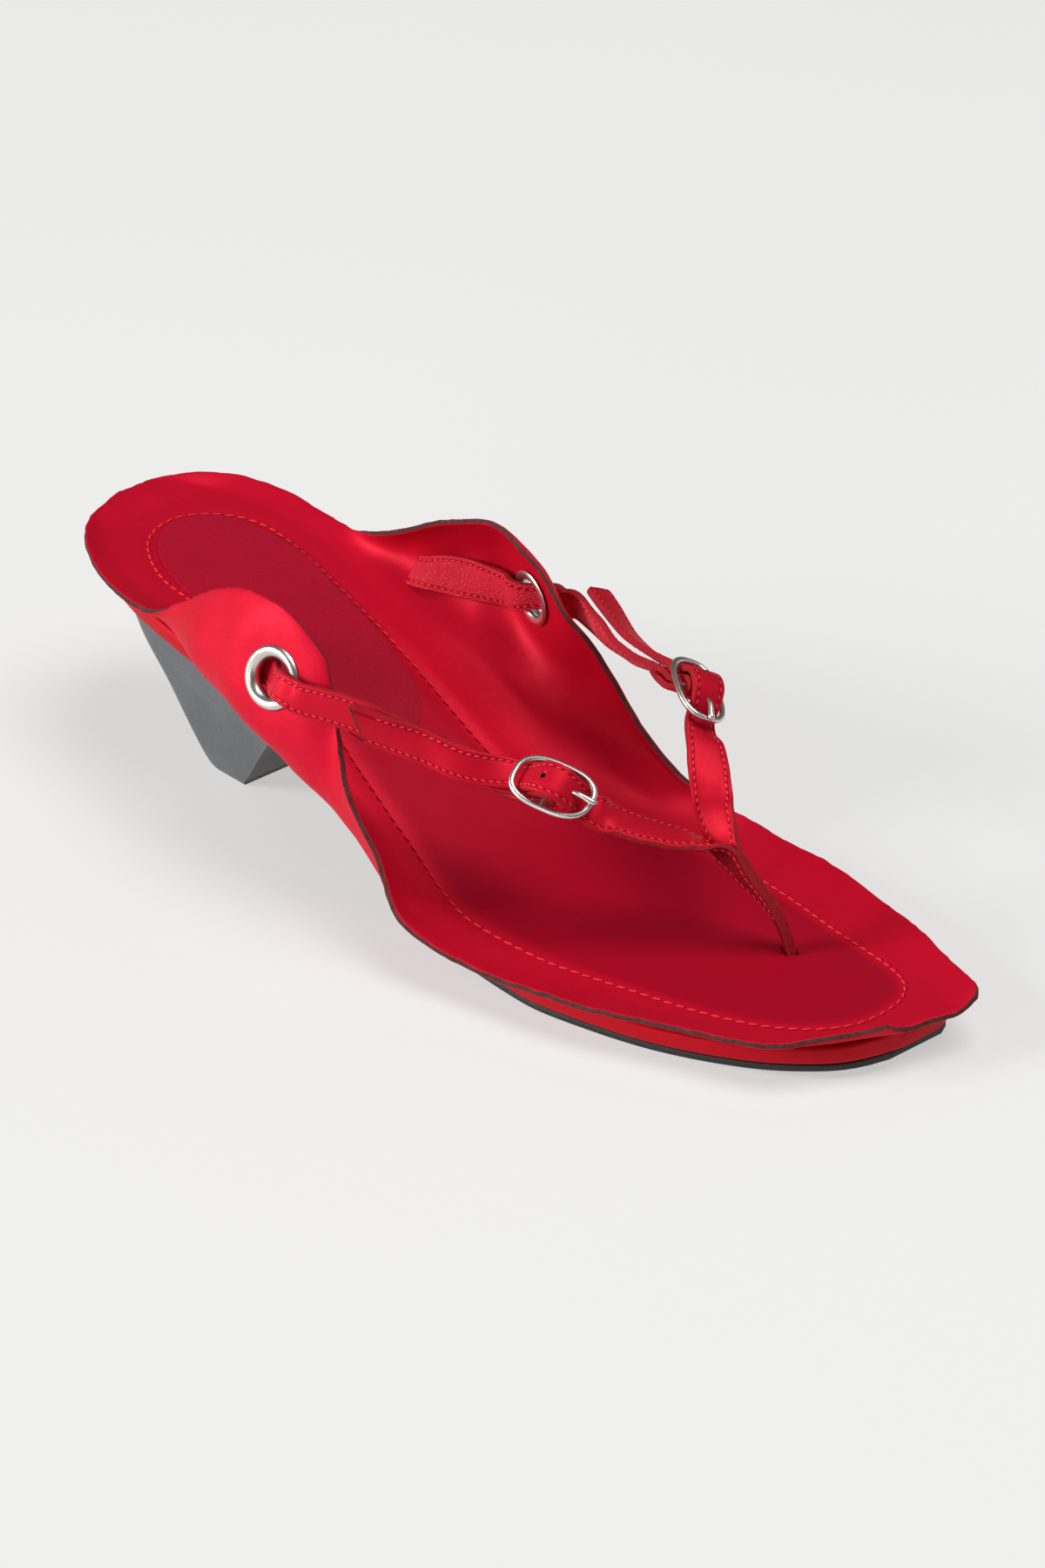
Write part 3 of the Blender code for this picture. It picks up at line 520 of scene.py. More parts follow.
class Tree:
    """Short calls that build one node tree."""

    def __init__(self, tree: bpy.types.NodeTree) -> None:
        """Work on a tree that is already there."""
        self.tree = tree

    def node(self, kind: str, inputs: dict[str | int, object] | None = None,
             **settings: object) -> bpy.types.Node:
        """Add a node, set its settings, then fill or link its inputs by name or place."""
        made = self.tree.nodes.new(kind)
        for key, value in settings.items():
            setattr(made, key, value)
        for key, value in (inputs or {}).items():
            self.feed(made.inputs[key], value)
        return made

    def feed(self, socket: Socket, value: object) -> None:
        """Link a socket to an output, or give it a plain value."""
        if isinstance(value, Socket):
            self.tree.links.new(value, socket)
        else:
            socket.default_value = value

    def maths(self, operation: str, *values: object) -> Socket:
        """Output of a Math node."""
        return self.node("ShaderNodeMath", dict(enumerate(values)), operation=operation).outputs[0]

    def times(self, first: object, second: object) -> Socket:
        """Product of two values."""
        return self.maths("MULTIPLY", first, second)

    def scaled_sum(self, value: object, factor: object, base: object) -> Socket:
        """A value times a factor, added to a base."""
        return self.maths("MULTIPLY_ADD", value, factor, base)

    def vectors(self, operation: str, *values: object) -> Socket:
        """Output of a Vector Math node."""
        made = self.node("ShaderNodeVectorMath", dict(enumerate(values)), operation=operation)
        return made.outputs[0]

    def blend(self, share: object, first: object, second: object) -> Socket:
        """Output of a colour Mix node, whose colours are its sockets 6 and 7."""
        return self.node("ShaderNodeMix", {0: share, 6: first, 7: second},
                         data_type="RGBA").outputs[2]

    def ramp(self, value: object, low: object, high: object) -> Socket:
        """Value stretched so that low gives 0 and high gives 1, clamped."""
        made = self.node("ShaderNodeMapRange", {"Value": value, "From Min": low, "From Max": high})
        return made.outputs["Result"]

    def noise(self, vector: object, scale: object, detail: float,
              roughness: float = 0.5) -> Socket:
        """Noise from 0 to 1."""
        made = self.node("ShaderNodeTexNoise", {"Vector": vector, "Scale": scale, "Detail": detail,
                                                "Roughness": roughness})
        return made.outputs["Fac"]


class Effect:
    """A shader node group with named inputs and outputs."""

    def __init__(self, name: str, inputs: dict[str, float], outputs: Sequence[str],
                 coordinates: str = "Object") -> None:
        """Make an empty group.

        Args:
            name: Name of the effect.
            inputs: Default values of its inputs.
            outputs: Names of its outputs.
            coordinates: The texture coordinates that it is laid out in.
        """
        self.coordinates = coordinates
        self.group = bpy.data.node_groups.new(name, "ShaderNodeTree")
        sockets = self.group.interface
        sockets.new_socket(name="Vector", in_out="INPUT", socket_type="NodeSocketVector")
        for key, value in inputs.items():
            socket = sockets.new_socket(name=key, in_out="INPUT", socket_type="NodeSocketFloat")
            socket.default_value = value
        for key in outputs:
            sockets.new_socket(name=key, in_out="OUTPUT", socket_type="NodeSocketFloat")
        self.tree = Tree(self.group)
        self.given = self.group.nodes.new("NodeGroupInput").outputs
        self.result = self.group.nodes.new("NodeGroupOutput").inputs

    def scale_of(self, key: str) -> Socket:
        """Scale at which a texture's pattern has the length of an input in millimetres."""
        return self.tree.maths("DIVIDE", 1.0, self.tree.times(self.given[key], MM))

    def give(self, **values: Socket) -> "Effect":
        """Link the group's outputs and return the effect."""
        for key, value in values.items():
            self.tree.feed(self.result[key.replace("_", " ")], value)
        return self


class EffectShelf:
    """The effects that the finishes share, each built once."""
    satin_stretch: float = 0.09     # scale along a satin thread, as a share of the scale across
    slub_scale: float = 0.21        # and that of its thick places
    grain_bend: float = 0.4         # how far the leather's cells are pushed about
    grain_unevenness: tuple[float, float] = (0.16, 1.4)     # the broad part's scale and height
    scratch_squash: float = 9.0     # scratches are this many times longer than wide
    speck_scale: float = 5.0        # and specks are this many times finer

    def __init__(self) -> None:
        """Build all the groups."""
        made = (self.satin_float(), self.rumple(), self.grain(), self.mottle(), self.scuff(),
                self.twist())
        self.effects = {effect.group.name: effect for effect in made}

    def satin_float(self) -> Effect:
        """Long threads of a satin weave, crossed by fine tie-downs."""
        effect = Effect("satin_float", {"Thread": 0.28, "Slub": 0.5}, ("Height", "Shade"), "UV")
        tree, given = effect.tree, effect.given
        per_thread = effect.scale_of("Thread")
        stretch = tree.node("ShaderNodeCombineXYZ", {
            "X": per_thread, "Y": tree.times(per_thread, self.satin_stretch), "Z": per_thread})
        scaled = tree.vectors("MULTIPLY", given["Vector"], stretch.outputs[0])
        mixed = tree.scaled_sum(tree.noise(scaled, self.slub_scale, 3.0), given["Slub"],
                                tree.noise(scaled, 1.0, 2.0))
        return effect.give(Height=mixed, Shade=tree.ramp(mixed, 0.5, 1.1))

    def rumple(self) -> Effect:
        """Slight unevenness of a bonded cloth."""
        effect = Effect("rumple", {"Size": 5.0}, ("Height",))
        return effect.give(Height=effect.tree.noise(effect.given["Vector"],
                                                    effect.scale_of("Size"), 3.0))

    def twist(self) -> Effect:
        """Turns of a thread."""
        effect = Effect("twist", {"Pitch": 1.0}, ("Height",))
        wave = effect.tree.node("ShaderNodeTexWave", {
            "Vector": effect.given["Vector"], "Scale": effect.scale_of("Pitch"),
            "Distortion": 1.5}, bands_direction="DIAGONAL")
        return effect.give(Height=wave.outputs["Fac"])

    def grain(self) -> Effect:
        """Leather grain: small cells with creases between them, under a broader unevenness."""
        effect = Effect("leather_grain", {"Cell": 0.9, "Crease": 0.35}, ("Height", "Crease Mask"))
        tree, given = effect.tree, effect.given
        scale = effect.scale_of("Cell")
        bend = tree.node("ShaderNodeTexNoise", {"Vector": given["Vector"], "Scale": scale,
                                                "Detail": 2.0})
        moved = tree.vectors("MULTIPLY_ADD", bend.outputs["Color"], (self.grain_bend * MM,) * 3,
                             given["Vector"])
        cells = tree.node("ShaderNodeTexVoronoi", {"Vector": moved, "Scale": scale},
                          feature="DISTANCE_TO_EDGE")
        crease = tree.ramp(cells.outputs["Distance"], 0.0, given["Crease"])
        broadness, height = self.grain_unevenness
        uneven = tree.noise(given["Vector"], tree.times(scale, broadness), 3.0)
        return effect.give(Height=tree.scaled_sum(uneven, height, crease),
                           Crease_Mask=tree.maths("SUBTRACT", 1.0, crease))

    def mottle(self) -> Effect:
        """Broad soft patches, as where a cloth was handled or dyed unevenly."""
        effect = Effect("mottle", {"Patch": 14.0, "Contrast": 0.3}, ("Share",))
        tree, given = effect.tree, effect.given
        patches = tree.noise(given["Vector"], effect.scale_of("Patch"), 4.0, 0.55)
        low = tree.maths("SUBTRACT", 0.5, given["Contrast"])
        high = tree.maths("ADD", 0.5, given["Contrast"])
        return effect.give(Share=tree.ramp(patches, low, high))

    def scuff(self) -> Effect:
        """Fine scratches and specks of a rubbed hard surface."""
        effect = Effect("scuff", {"Length": 6.0}, ("Scratch", "Speck"))
        tree, given = effect.tree, effect.given
        scale = effect.scale_of("Length")
        squash = (self.scratch_squash, self.scratch_squash, 1.0)
        lines = tree.noise(tree.vectors("MULTIPLY", given["Vector"], squash), scale, 5.0, 0.7)
        specks = tree.noise(given["Vector"], tree.times(scale, self.speck_scale), 6.0, 0.75)
        return effect.give(Scratch=tree.ramp(lines, 0.35, 0.7), Speck=tree.ramp(specks, 0.45, 0.75))


class Paint:
    """A material under construction: its tree and its Principled shader."""

    def __init__(self, name: str, plain: dict[str, object]) -> None:
        """Start a material and set what is the same all over it on the shader's own sockets."""
        self.material = bpy.data.materials.new(name)
        self.material.use_nodes = True
        self.tree = Tree(self.material.node_tree)
        self.shader = self.material.node_tree.nodes["Principled BSDF"]
        for key, value in plain.items():
            self.shader.inputs[key].default_value = value
        self.coordinates = self.tree.node("ShaderNodeTexCoord").outputs
        self.placed: dict[tuple[object, ...], bpy.types.NodeOutputs] = {}

    def output(self, effect: Effect, sizes: dict[str, float], name: str) -> Socket:
        """Output of an effect, which is put into the material once for each set of sizes."""
        key = (effect, *sizes.values())
        if key not in self.placed:
            made = self.tree.node("ShaderNodeGroup", node_tree=effect.group)
            for socket, value in {"Vector": self.coordinates[effect.coordinates], **sizes}.items():
                self.tree.feed(made.inputs[socket], value)
            self.placed[key] = made.outputs
        return self.placed[key][name]

    def bump(self, height: Socket, depth: float, under: Socket | None) -> Socket:
        """Normal from a height of the given depth in millimetres, over another normal."""
        made = self.tree.node("ShaderNodeBump", {"Height": height, "Distance": depth * MM,
                                                 "Strength": 1.0})
        if under is not None:
            self.tree.feed(made.inputs["Normal"], under)
        return made.outputs["Normal"]

    def feed(self, **values: object) -> Material:
        """Link outputs to the shader's sockets and return the material."""
        for key, value in values.items():
            self.tree.feed(self.shader.inputs[key.replace("_", " ")], value)
        return self.material


class Pattern(NamedTuple):
    """What one output of an effect does to a finish where it is 1."""
    effect: str
    sizes: dict[str, float]
    output: str
    shade: float = 0.0          # share of the second colour
    roughness: float = 0.0      # added roughness
    depth: float = 0.0          # height in millimetres


@dataclass(frozen=True)
class Finish:
    """A material between two colours, with the patterns that mix them.

    Attributes:
        roughness: Roughness where no pattern adds any.
        patterns: The patterns in order. The relief of each lies over the last one's.
        plain: Shader values that are the same all over.
        covers: Whether each pattern shades only what the ones before it left plain.
        panel_shade: Share of the second colour where the attribute named panel is 1.
    """
    name: str
    colour: Colour
    second: Colour
    roughness: float
    patterns: tuple[Pattern, ...]
    plain: dict[str, object]
    covers: bool = False
    panel_shade: float = 0.0

    def make(self, shelf: EffectShelf) -> Material:
        """Build the material."""
        paint = Paint(self.name, self.plain)
        tree = paint.tree
        shade, rough, normal = 0.0, self.roughness, None
        for pattern in self.patterns:
            value = paint.output(shelf.effects[pattern.effect], pattern.sizes, pattern.output)
            if pattern.shade and self.covers:
                left = tree.maths("SUBTRACT", 1.0, shade)
                shade = tree.scaled_sum(tree.times(value, pattern.shade), left, shade)
            elif pattern.shade:
                shade = tree.scaled_sum(value, pattern.shade, shade)
            if pattern.roughness:
                rough = tree.scaled_sum(value, pattern.roughness, rough)
            if pattern.depth:
                normal = paint.bump(value, pattern.depth, normal)
        if self.panel_shade:
            panel = tree.node("ShaderNodeAttribute", attribute_name="panel").outputs["Fac"]
            shade = tree.maths("MAXIMUM", tree.times(panel, self.panel_shade), shade)
        base = tree.blend(shade, self.colour, self.second)
        return paint.feed(Base_Color=base, Roughness=rough, Normal=normal)


def satin(name: str, colour: Colour, second: Colour, roughness: float = 0.50,
          gloss: float = 0.34, sheen: float = 0.10, bloom: float = 0.07) -> Finish:
    """Dyed satin bonded to leather: a soft broad sheen over fine lengthwise threads."""
    weave = {"Thread": 0.28, "Slub": 0.5}
    return Finish(name, colour, second, roughness, (
        Pattern("mottle", {"Patch": 16.0, "Contrast": 0.32}, "Share", 0.22, 0.08),
        Pattern("satin_float", weave, "Shade", 0.28, 0.06),
        Pattern("rumple", {"Size": 5.263}, "Height", depth=0.05),
        Pattern("satin_float", weave, "Height", depth=0.014),
    ), {"Metallic": gloss, "Sheen Weight": sheen, "Sheen Roughness": 0.4, "Coat Weight": bloom,
        "Coat Roughness": 0.42, "Specular IOR Level": 0.5, "Sheen Tint": (1.0, 0.03, 0.06, 1.0),
        "Specular Tint": (1.0, 0.04, 0.08, 1.0)}, panel_shade=0.75)


def leather(name: str, colour: Colour, second: Colour, roughness: float, cell: float,
            depth: float) -> Finish:
    """Grained leather, with the second colour in its creases."""
    grain = {"Cell": cell, "Crease": 0.3}
    return Finish(name, colour, second, roughness, (
        Pattern("leather_grain", grain, "Crease Mask", 0.7, 0.18),
        Pattern("leather_grain", grain, "Height", depth=depth),
        Pattern("mottle", {"Patch": 9.0, "Contrast": 0.3}, "Share", 0.35),
    ), {"Specular IOR Level": 0.42, "Specular Tint": (1.0, 0.12, 0.16, 1.0)}, covers=True)


def raw_edge(name: str, colour: Colour, second: Colour) -> Finish:
    """Cut edge of the sheet: layered fibres that took little dye."""
    return Finish(name, colour, second, 0.7, (
        Pattern("mottle", {"Patch": 1.6, "Contrast": 0.22}, "Share", 0.6),
        Pattern("mottle", {"Patch": 0.45, "Contrast": 0.2}, "Share", 0.4, 0.2, 0.12),
    ), {"Specular IOR Level": 0.2})


def thread(name: str, colour: Colour, second: Colour) -> Finish:
    """Sewing thread with a slight gloss."""
    return Finish(name, colour, second, 0.5, (
        Pattern("mottle", {"Patch": 5.0, "Contrast": 0.25}, "Share", 0.6, 0.15),
        Pattern("twist", {"Pitch": 1.1111}, "Height", depth=0.03),
    ), {"Specular IOR Level": 0.35, "Specular Tint": (1.0, 0.25, 0.28, 1.0)})


def metal(name: str, colour: Colour, second: Colour) -> Finish:
    """Polished plated metal with faint handling marks."""
    marks = {"Length": 2.5}
    return Finish(name, colour, second, 0.27, (
        Pattern("scuff", marks, "Speck", 0.35),
        Pattern("scuff", marks, "Scratch", 0.0, 0.12, 0.0012),
    ), {"Metallic": 1.0})


def hard(name: str, colour: Colour, second: Colour, roughness: float, wear: float) -> Finish:
    """A coated or moulded hard surface with fine wear, for the heel and the outsole."""
    marks = {"Length": 7.0}
    return Finish(name, colour, second, roughness, (
        Pattern("scuff", marks, "Speck", 0.0, 0.14, 0.02),
        Pattern("scuff", marks, "Scratch", 0.5 * wear, 0.0, 0.015),
        Pattern("mottle", {"Patch": 11.0, "Contrast": 0.3}, "Share", wear),
    ), {"Specular IOR Level": 0.4})


FINISHES = {
    "satin": satin("satin", (0.60, 0.0035, 0.024, 1), (0.31, 0.0008, 0.015, 1)),
    "strap_satin": satin("strap_satin", (0.57, 0.006, 0.023, 1), (0.38, 0.002, 0.015, 1), 0.47),
    # Darker, duller copy of the strap satin for the dips along the sewn lines: painted shade.
    "groove": satin("strap_groove", (0.36, 0.002, 0.012, 1), (0.24, 0.001, 0.008, 1),
                    sheen=0.0, gloss=0.1, bloom=0.0),
    "wrap": satin("insole_satin", (0.50, 0.005, 0.014, 1), (0.30, 0.003, 0.010, 1)),
    # Light pink backing: partly the leather's own tone, partly a painted sheen.
    "backing": leather("strap_backing", (0.82, 0.038, 0.068, 1), (0.48, 0.010, 0.028, 1),
                       roughness=0.42, cell=0.75, depth=0.15),
    "post_leather": leather("post_leather", (0.26, 0.005, 0.015, 1), (0.08, 0.002, 0.006, 1),
                            roughness=0.5, cell=1.1, depth=0.1),
    "pad": leather("heel_pad_leather", (0.40, 0.005, 0.024, 1), (0.30, 0.003, 0.018, 1),
                   roughness=0.46, cell=0.7, depth=0.02),
    "raw_edge": raw_edge("raw_edge", (0.035, 0.011, 0.011, 1), (0.13, 0.04, 0.036, 1)),
    "strap_edge": raw_edge("strap_edge", (0.24, 0.006, 0.012, 1), (0.40, 0.010, 0.020, 1)),
    "thread": thread("thread", (0.80, 0.065, 0.085, 1), (0.62, 0.026, 0.040, 1)),
    "seam_thread": thread("seam_thread", (0.72, 0.045, 0.055, 1), (0.66, 0.022, 0.030, 1)),
    "nickel": metal("polished_nickel", (0.64, 0.62, 0.58, 1), (0.50, 0.48, 0.45, 1)),
    "heel": hard("heel_lacquer", (0.066, 0.069, 0.079, 1), (0.125, 0.130, 0.142, 1),
                 roughness=0.46, wear=0.6),
    # Darker, browner copy of the heel's finish for its breast: painted shade on the face turned
    # away from the light.
    "heel_front_painted_shade": hard("heel_breast_painted_shade", (0.030, 0.027, 0.026, 1), (0.055, 0.045, 0.04, 1),
                       roughness=0.5, wear=0.35),
    "rubber": hard("sole_rubber", (0.010, 0.008, 0.008, 1), (0.035, 0.026, 0.024, 1),
                   roughness=0.55, wear=0.4),
}


class Wardrobe:
    """The finishes' materials, by the name of what they cover."""

    def __init__(self) -> None:
        """Build the effects, then the materials."""
        shelf = EffectShelf()
        self.materials = {name: finish.make(shelf) for name, finish in FINISHES.items()}

    def pick(self, *names: str) -> list[Material]:
        """Some of the materials in order."""
        return [self.materials[name] for name in names]


# ---- upper surface

def brim_lift(y: float) -> float:
    """Height of the sheet over the footbed behind the heel, where the brim closes round it."""
    return BRIM_LIFT * smooth_step((BRIM_LIFT_START - y) / (BRIM_LIFT_START - BRIM_LIFT_FULL))


class Wing:
    """The sheet on one side of the shoe, as a surface of distance along and share up."""

    def __init__(self, sign: int, table: Sequence[Flank], fullness: float) -> None:
        """Read the side's table.

        Args:
            sign: 1 for the outer side, -1 for the inner.
            table: Rows of the side, from heel to toe.
            fullness: 1 puts the widest part of the wing halfway up, and more puts it lower.
        """
        self.sign = sign
        self.low_bow = 4 / 3 * fullness
        self.high_bow = 4 / 3 * (2 - fullness)
        self.hinge = Curve(table, "hinge")
        self.edge = Curve(table, "edge")
        self.rise = Curve(table, "rise")
        self.bulge = Curve(table, "bulge")

    def point(self, y: float, t: float) -> Vector:
        """Centre of the wall, from the hinge at t = 0 to the raw edge at t = 1."""
        hinge, edge, rise, bulge = self.hinge(y), self.edge(y), self.rise(y), self.bulge(y)
        lift = brim_lift(y)
        climb = rise - lift
        low = (hinge + (edge - hinge) / 3 + bulge * self.low_bow,
               lift + climb * (LOW_START - bulge * LOW_DIP))
        high = (hinge + (edge - hinge) * 2 / 3 + bulge * self.high_bow, lift + climb * 2 / 3)
        weights = ((1 - t) ** 3, 3 * t * (1 - t) ** 2, 3 * t ** 2 * (1 - t), t ** 3)
        out = sum(w * p for w, p in zip(weights, (hinge, low[0], high[0], edge)))
        up = sum(w * p for w, p in zip(weights, (lift, low[1], high[1], rise)))
        x = self.sign * out
        along = slanted(y, x)
        return Vector((x, along, layer_height(along, SHEET_THICKNESS / 2) + up))

    def frame(self, y: float, t: float) -> tuple[Vector, Vector, Vector]:
        """Point on the wall with its outward normal and its direction towards the edge."""
        step = 0.02
        centre = self.point(y, t)
        along = self.point(y + 1, t) - self.point(y - 1, t)
        up = (self.point(y, t + step) - self.point(y, t - step)).normalized()
        normal = up.cross(along).normalized() * -self.sign
        return centre, normal, up


OUTER = Wing(1, OUTER_FLANK, 1.5)
INNER = Wing(-1, INNER_FLANK, 1.0)


@dataclass(frozen=True)
class Fastening:
    """Places of one side's slit, eyelet and buckle."""
    name: str
    wing: Wing
    slit: tuple[float, float]
    eyelet: tuple[float, float]
    buckle: Vector
    along: Vector
    outward: Vector
    skew: float


FASTENINGS = (
    Fastening("lateral", OUTER, (24.0, 0.40), (49.5, 0.685), Vector((11.7, 116.9, 43.8)),
              Vector((-0.35, 0.91, -0.20)), Vector((0.83, 0.20, -0.52)), 0.0),
    Fastening("medial", INNER, (21.5, 0.42), (58.0, 0.70), Vector((-33.0, 115.8, 51.2)),
              Vector((0.48, 0.84, -0.25)), Vector((-0.82, 0.33, -0.47)), -0.15),
)
EYELET_FRAMES = tuple(fastening.wing.frame(*fastening.eyelet) for fastening in FASTENINGS)


def pressed_flat(point: Vector) -> Vector:
    """Press the wing onto the flat of an eyelet where the point is close to one."""
    for centre, normal, _ in EYELET_FRAMES:
        offset = point - centre
        blend = EYELET_BLEND_RADIUS - EYELET_FLAT_RADIUS
        share = smooth_step((EYELET_BLEND_RADIUS - offset.length) / blend)
        point = point - normal * offset.dot(normal) * share
    return point


def place_on_sheet(y: float, across: float) -> Vector:
    """Centre of the sheet's wall at a place across it.

    Args:
        y: Distance along the shoe.
        across: -1 to 1 over the footbed, to 2 up the outer wall and to -2 up the inner one.

    Returns:
        The point.
    """
    if across >= 1:
        return pressed_flat(OUTER.point(y, across - 1))
    if across <= -1:
        return pressed_flat(INNER.point(y, -across - 1))
    inner, outer = -INNER.hinge(y), OUTER.hinge(y)
    x = inner + (outer - inner) * (across + 1) / 2
    along = slanted(y, x)
    return pressed_flat(Vector((x, along, layer_height(along, SHEET_THICKNESS / 2) + brim_lift(y))))


@dataclass(frozen=True)
class Crease:
    """A soft valley or ridge in the sheet between two places, given along and across it."""
    start: tuple[float, float]
    end: tuple[float, float]
    depth: float
    width: float

    def ends(self) -> tuple[Vector, Vector]:
        """The two places as points."""
        return place_on_sheet(*self.start), place_on_sheet(*self.end)


CREASE_FADE = 2.6       # how fast a crease reaches its depth from either end

# Valleys have a positive depth and push the sheet outwards or down; ridges are negative.
CREASES = (
    Crease((34, 1.10), (66, 1.35), 0.55, 3.0), Crease((60, 1.62), (78, 1.40), 0.45, 2.4),
    Crease((30, 1.72), (40, 1.52), -0.35, 2.2), Crease((57, 1.40), (66, 1.12), -0.40, 2.6),
    Crease((40, -1.20), (74, -1.28), 0.60, 3.4), Crease((68, -1.78), (98, -1.50), -0.45, 3.6),
    Crease((28, -1.62), (44, -1.78), 0.40, 2.4), Crease((80, -1.30), (104, -1.22), 0.55, 3.2),
    Crease((92, -0.80), (112, -0.30), 0.22, 3.5), Crease((112, 0.10), (118, 0.85), 0.20, 3.0),
    Crease((124, -0.70), (133, 0.30), 0.18, 4.0), Crease((150, -0.2), (146, 0.7), -0.15, 4.0),
    Crease((-40, -0.4), (-46, 0.3), -0.20, 4.0), Crease((72, 0.2), (84, 0.9), 0.22, 3.4),
)


def near_line(point: Vector, start: Vector, end: Vector) -> tuple[float, float]:
    """Distance from a point to a stretch, and the share of it back to its nearer end."""
    span = end - start
    share = min(max((point - start).dot(span) / span.length_squared, 0.0), 1.0)
    return (point - start - span * share).length, min(share, 1 - share)


class SeamField:
    """Distances in plan to the sewn line, for its groove and for the panel inside it."""

    def __init__(self) -> None:
        """Lay out the line finely."""
        self.line = np.array([(point.x, point.y) for point in closed_plan_curve(SEAM_LINE, 6)])

    def signed_distances(self, places: Sequence[Sequence[float]]) -> np.ndarray:
        """Distances from the line in plan, positive inside it.

        Args:
            places: The x and y of each point.

        Returns:
            One distance for each point.
        """
        points = np.array(places, float).reshape(-1, 1, 2)
        start, end = self.line[None], np.roll(self.line, -1, axis=0)[None]
        span = end - start
        share = np.clip(((points - start) * span).sum(-1) / (span ** 2).sum(-1), 0.0, 1.0)
        nearest = np.linalg.norm(start + span * share[..., None] - points, axis=-1).min(axis=1)
        above = (start[..., 1] > points[..., 1]) != (end[..., 1] > points[..., 1])
        rise = np.where(span[..., 1] == 0.0, 1e-9, span[..., 1])
        run_in = (points[..., 1] - start[..., 1]) / rise * span[..., 0]
        crossing = points[..., 0] < start[..., 0] + run_in
        inside = (above & crossing).sum(axis=1) % 2 == 1
        return np.where(inside, nearest, -nearest)


def stitch(work: BMesh, centre: Vector, along: Vector, up: Vector, length: float,
           thickness: float) -> None:
    """Add one stitch, a short plump length of thread that lies on a surface."""
    side = up.cross(along).normalized()
    up = along.cross(side).normalized()
    basis = Matrix((side * thickness / 2, up * thickness / 2, along * length / 2)).transposed()
    bmesh.ops.create_uvsphere(work, u_segments=6, v_segments=5, radius=1.0,
                              matrix=Matrix.Translation(centre) @ basis.to_4x4())


@dataclass
class Upper:
    """The sheet with its raw edge, heel pad and the sewn line around the footbed."""
    wardrobe: Wardrobe
    row_step: float = 1.25
    end_row_step: float = 0.35
    end_rows_reach: float = 12.0
    wall_columns: int = 26
    bed_columns: int = 40
    edge_strips: tuple[float, ...] = (0.55, 0.2, 0.0)
    edge_weights: tuple[float, ...] = (0.68, 0.92, 1.0)
    shortest_wall: float = 3.0
    edge_wander: float = 0.22
    edge_wander_size: float = 2.4
    edge_wander_lines: int = 5      # the grid lines from the edge that wander with it
    wall_swell: float = 0.45
    wall_swell_size: float = 9.0
    wall_swell_length: float = 0.35     # swells run this much less often along the shoe
    wall_swell_start: float = 0.95
    dimple: float = 0.05
    dimple_size: float = 6.0
    panel_rise: float = 0.16        # the footbed's leather stands up inside its sewn line
    panel_start: float = 0.8
    panel_ramp: float = 4.0
    panel_reach: float = 1.2        # of the panel and its groove across the sheet
    seam_pitch: float = 3.05
    seam_stitch: float = 2.25
    seam_thread: float = 0.52
    seam_lean: float = 0.13         # how far its stitches are turned from the seam
    seam_lean_spread: float = 0.06
    seam_depth: float = 0.153       # of the seam under the footbed's plain shape
    seam_lift: float = 0.12         # of the thread over the seam
    groove_depth: float = 0.34
    groove_width: float = 1.3
    pad_thickness: float = 0.45
    pad_lift: float = 0.12
    pad_x: tuple[float, float] = (-20.0, 25.0)
    pad_y: tuple[float, float] = (-37.0, 63.0)
    pad_grid: tuple[int, int] = (34, 76)
    pad_prism: tuple[float, float] = (15.0, 60.0)

    def __post_init__(self) -> None:
        """Prepare the seam."""
        self.seam = SeamField()

    def columns(self, y: float) -> list[float]:
        """Places across the sheet at one distance along it, from the inner edge to the outer.

        The last two strips at each edge have a fixed width, where the edge is rounded.
        """
        walls = []
        for wing in (INNER, OUTER):
            foot, middle, edge = (wing.point(y, t) for t in (0.0, 0.5, 1.0))
            length = max((edge - middle).length + (middle - foot).length, self.shortest_wall)
            near = [1 - width / length for width in self.edge_strips]
            wall = [near[0] * i / self.wall_columns for i in range(self.wall_columns + 1)]
            walls.append(wall + near[1:])
        bed = [-1 + 2 * i / self.bed_columns for i in range(1, self.bed_columns)]
        return [-1 - t for t in reversed(walls[0])] + bed + [1 + t for t in walls[1]]

    def rows(self) -> list[float]:
        """Distances along the shoe, closer together at the two ends."""
        first, last = FOOTBED[0].y, INNER_FLANK[-1].y
        strips = list(reversed(self.edge_strips))
        rows = [first + width for width in strips]
        while rows[-1] < last - self.edge_strips[0]:
            from_end = min(rows[-1] - first, last - rows[-1])
            share = smooth_step(from_end / self.end_rows_reach)
            step = self.end_row_step + (self.row_step - self.end_row_step) * share
            rows.append(rows[-1] + step)
        rows[-1] = last - self.edge_strips[0]
        return rows + [last - width for width in self.edge_strips[1:]]

    def edge_weight(self, i: int, j: int, columns: int, rows: int) -> float:
        """Share of the sheet's thickness at a grid point: less right at the cut edge."""
        return self.edge_weights[min(i, j, columns - 1 - i, rows - 1 - j, 2)]

    def relief(self, point: Vector, across: float, inside: float,
               creases: list[tuple[Vector, Vector, Crease]]) -> float:
        """How far the surface lies from the plain shape, along its upward or inward normal.

        Args:
            point: The point on the plain shape.
            across: Its place across the sheet.
            inside: Its distance inside the sewn line in plan.
            creases: Both ends of each crease, with the crease.

        Returns:
            The distance in millimetres.
        """
        depth = 0.0
        for start, end, crease in creases:
            distance, inwards = near_line(point, start, end)
            if distance < 3 * crease.width:
                valley = math.exp(-(distance / crease.width) ** 2)
                depth -= crease.depth * smooth_step(inwards * CREASE_FADE) * valley
        drawn = Vector((point.x, point.y * self.wall_swell_length, point.z))
        swell = self.wall_swell * noise.noise(drawn / self.wall_swell_size)
        depth += smooth_step(abs(across) - self.wall_swell_start) * swell
        depth += self.dimple * noise.noise(point / self.dimple_size)
        if abs(across) < self.panel_reach:
            depth -= self.groove_depth * math.exp(-(inside / self.groove_width) ** 2)
            depth += self.panel_rise * smooth_step((inside - self.panel_start) / self.panel_ramp)
        return depth

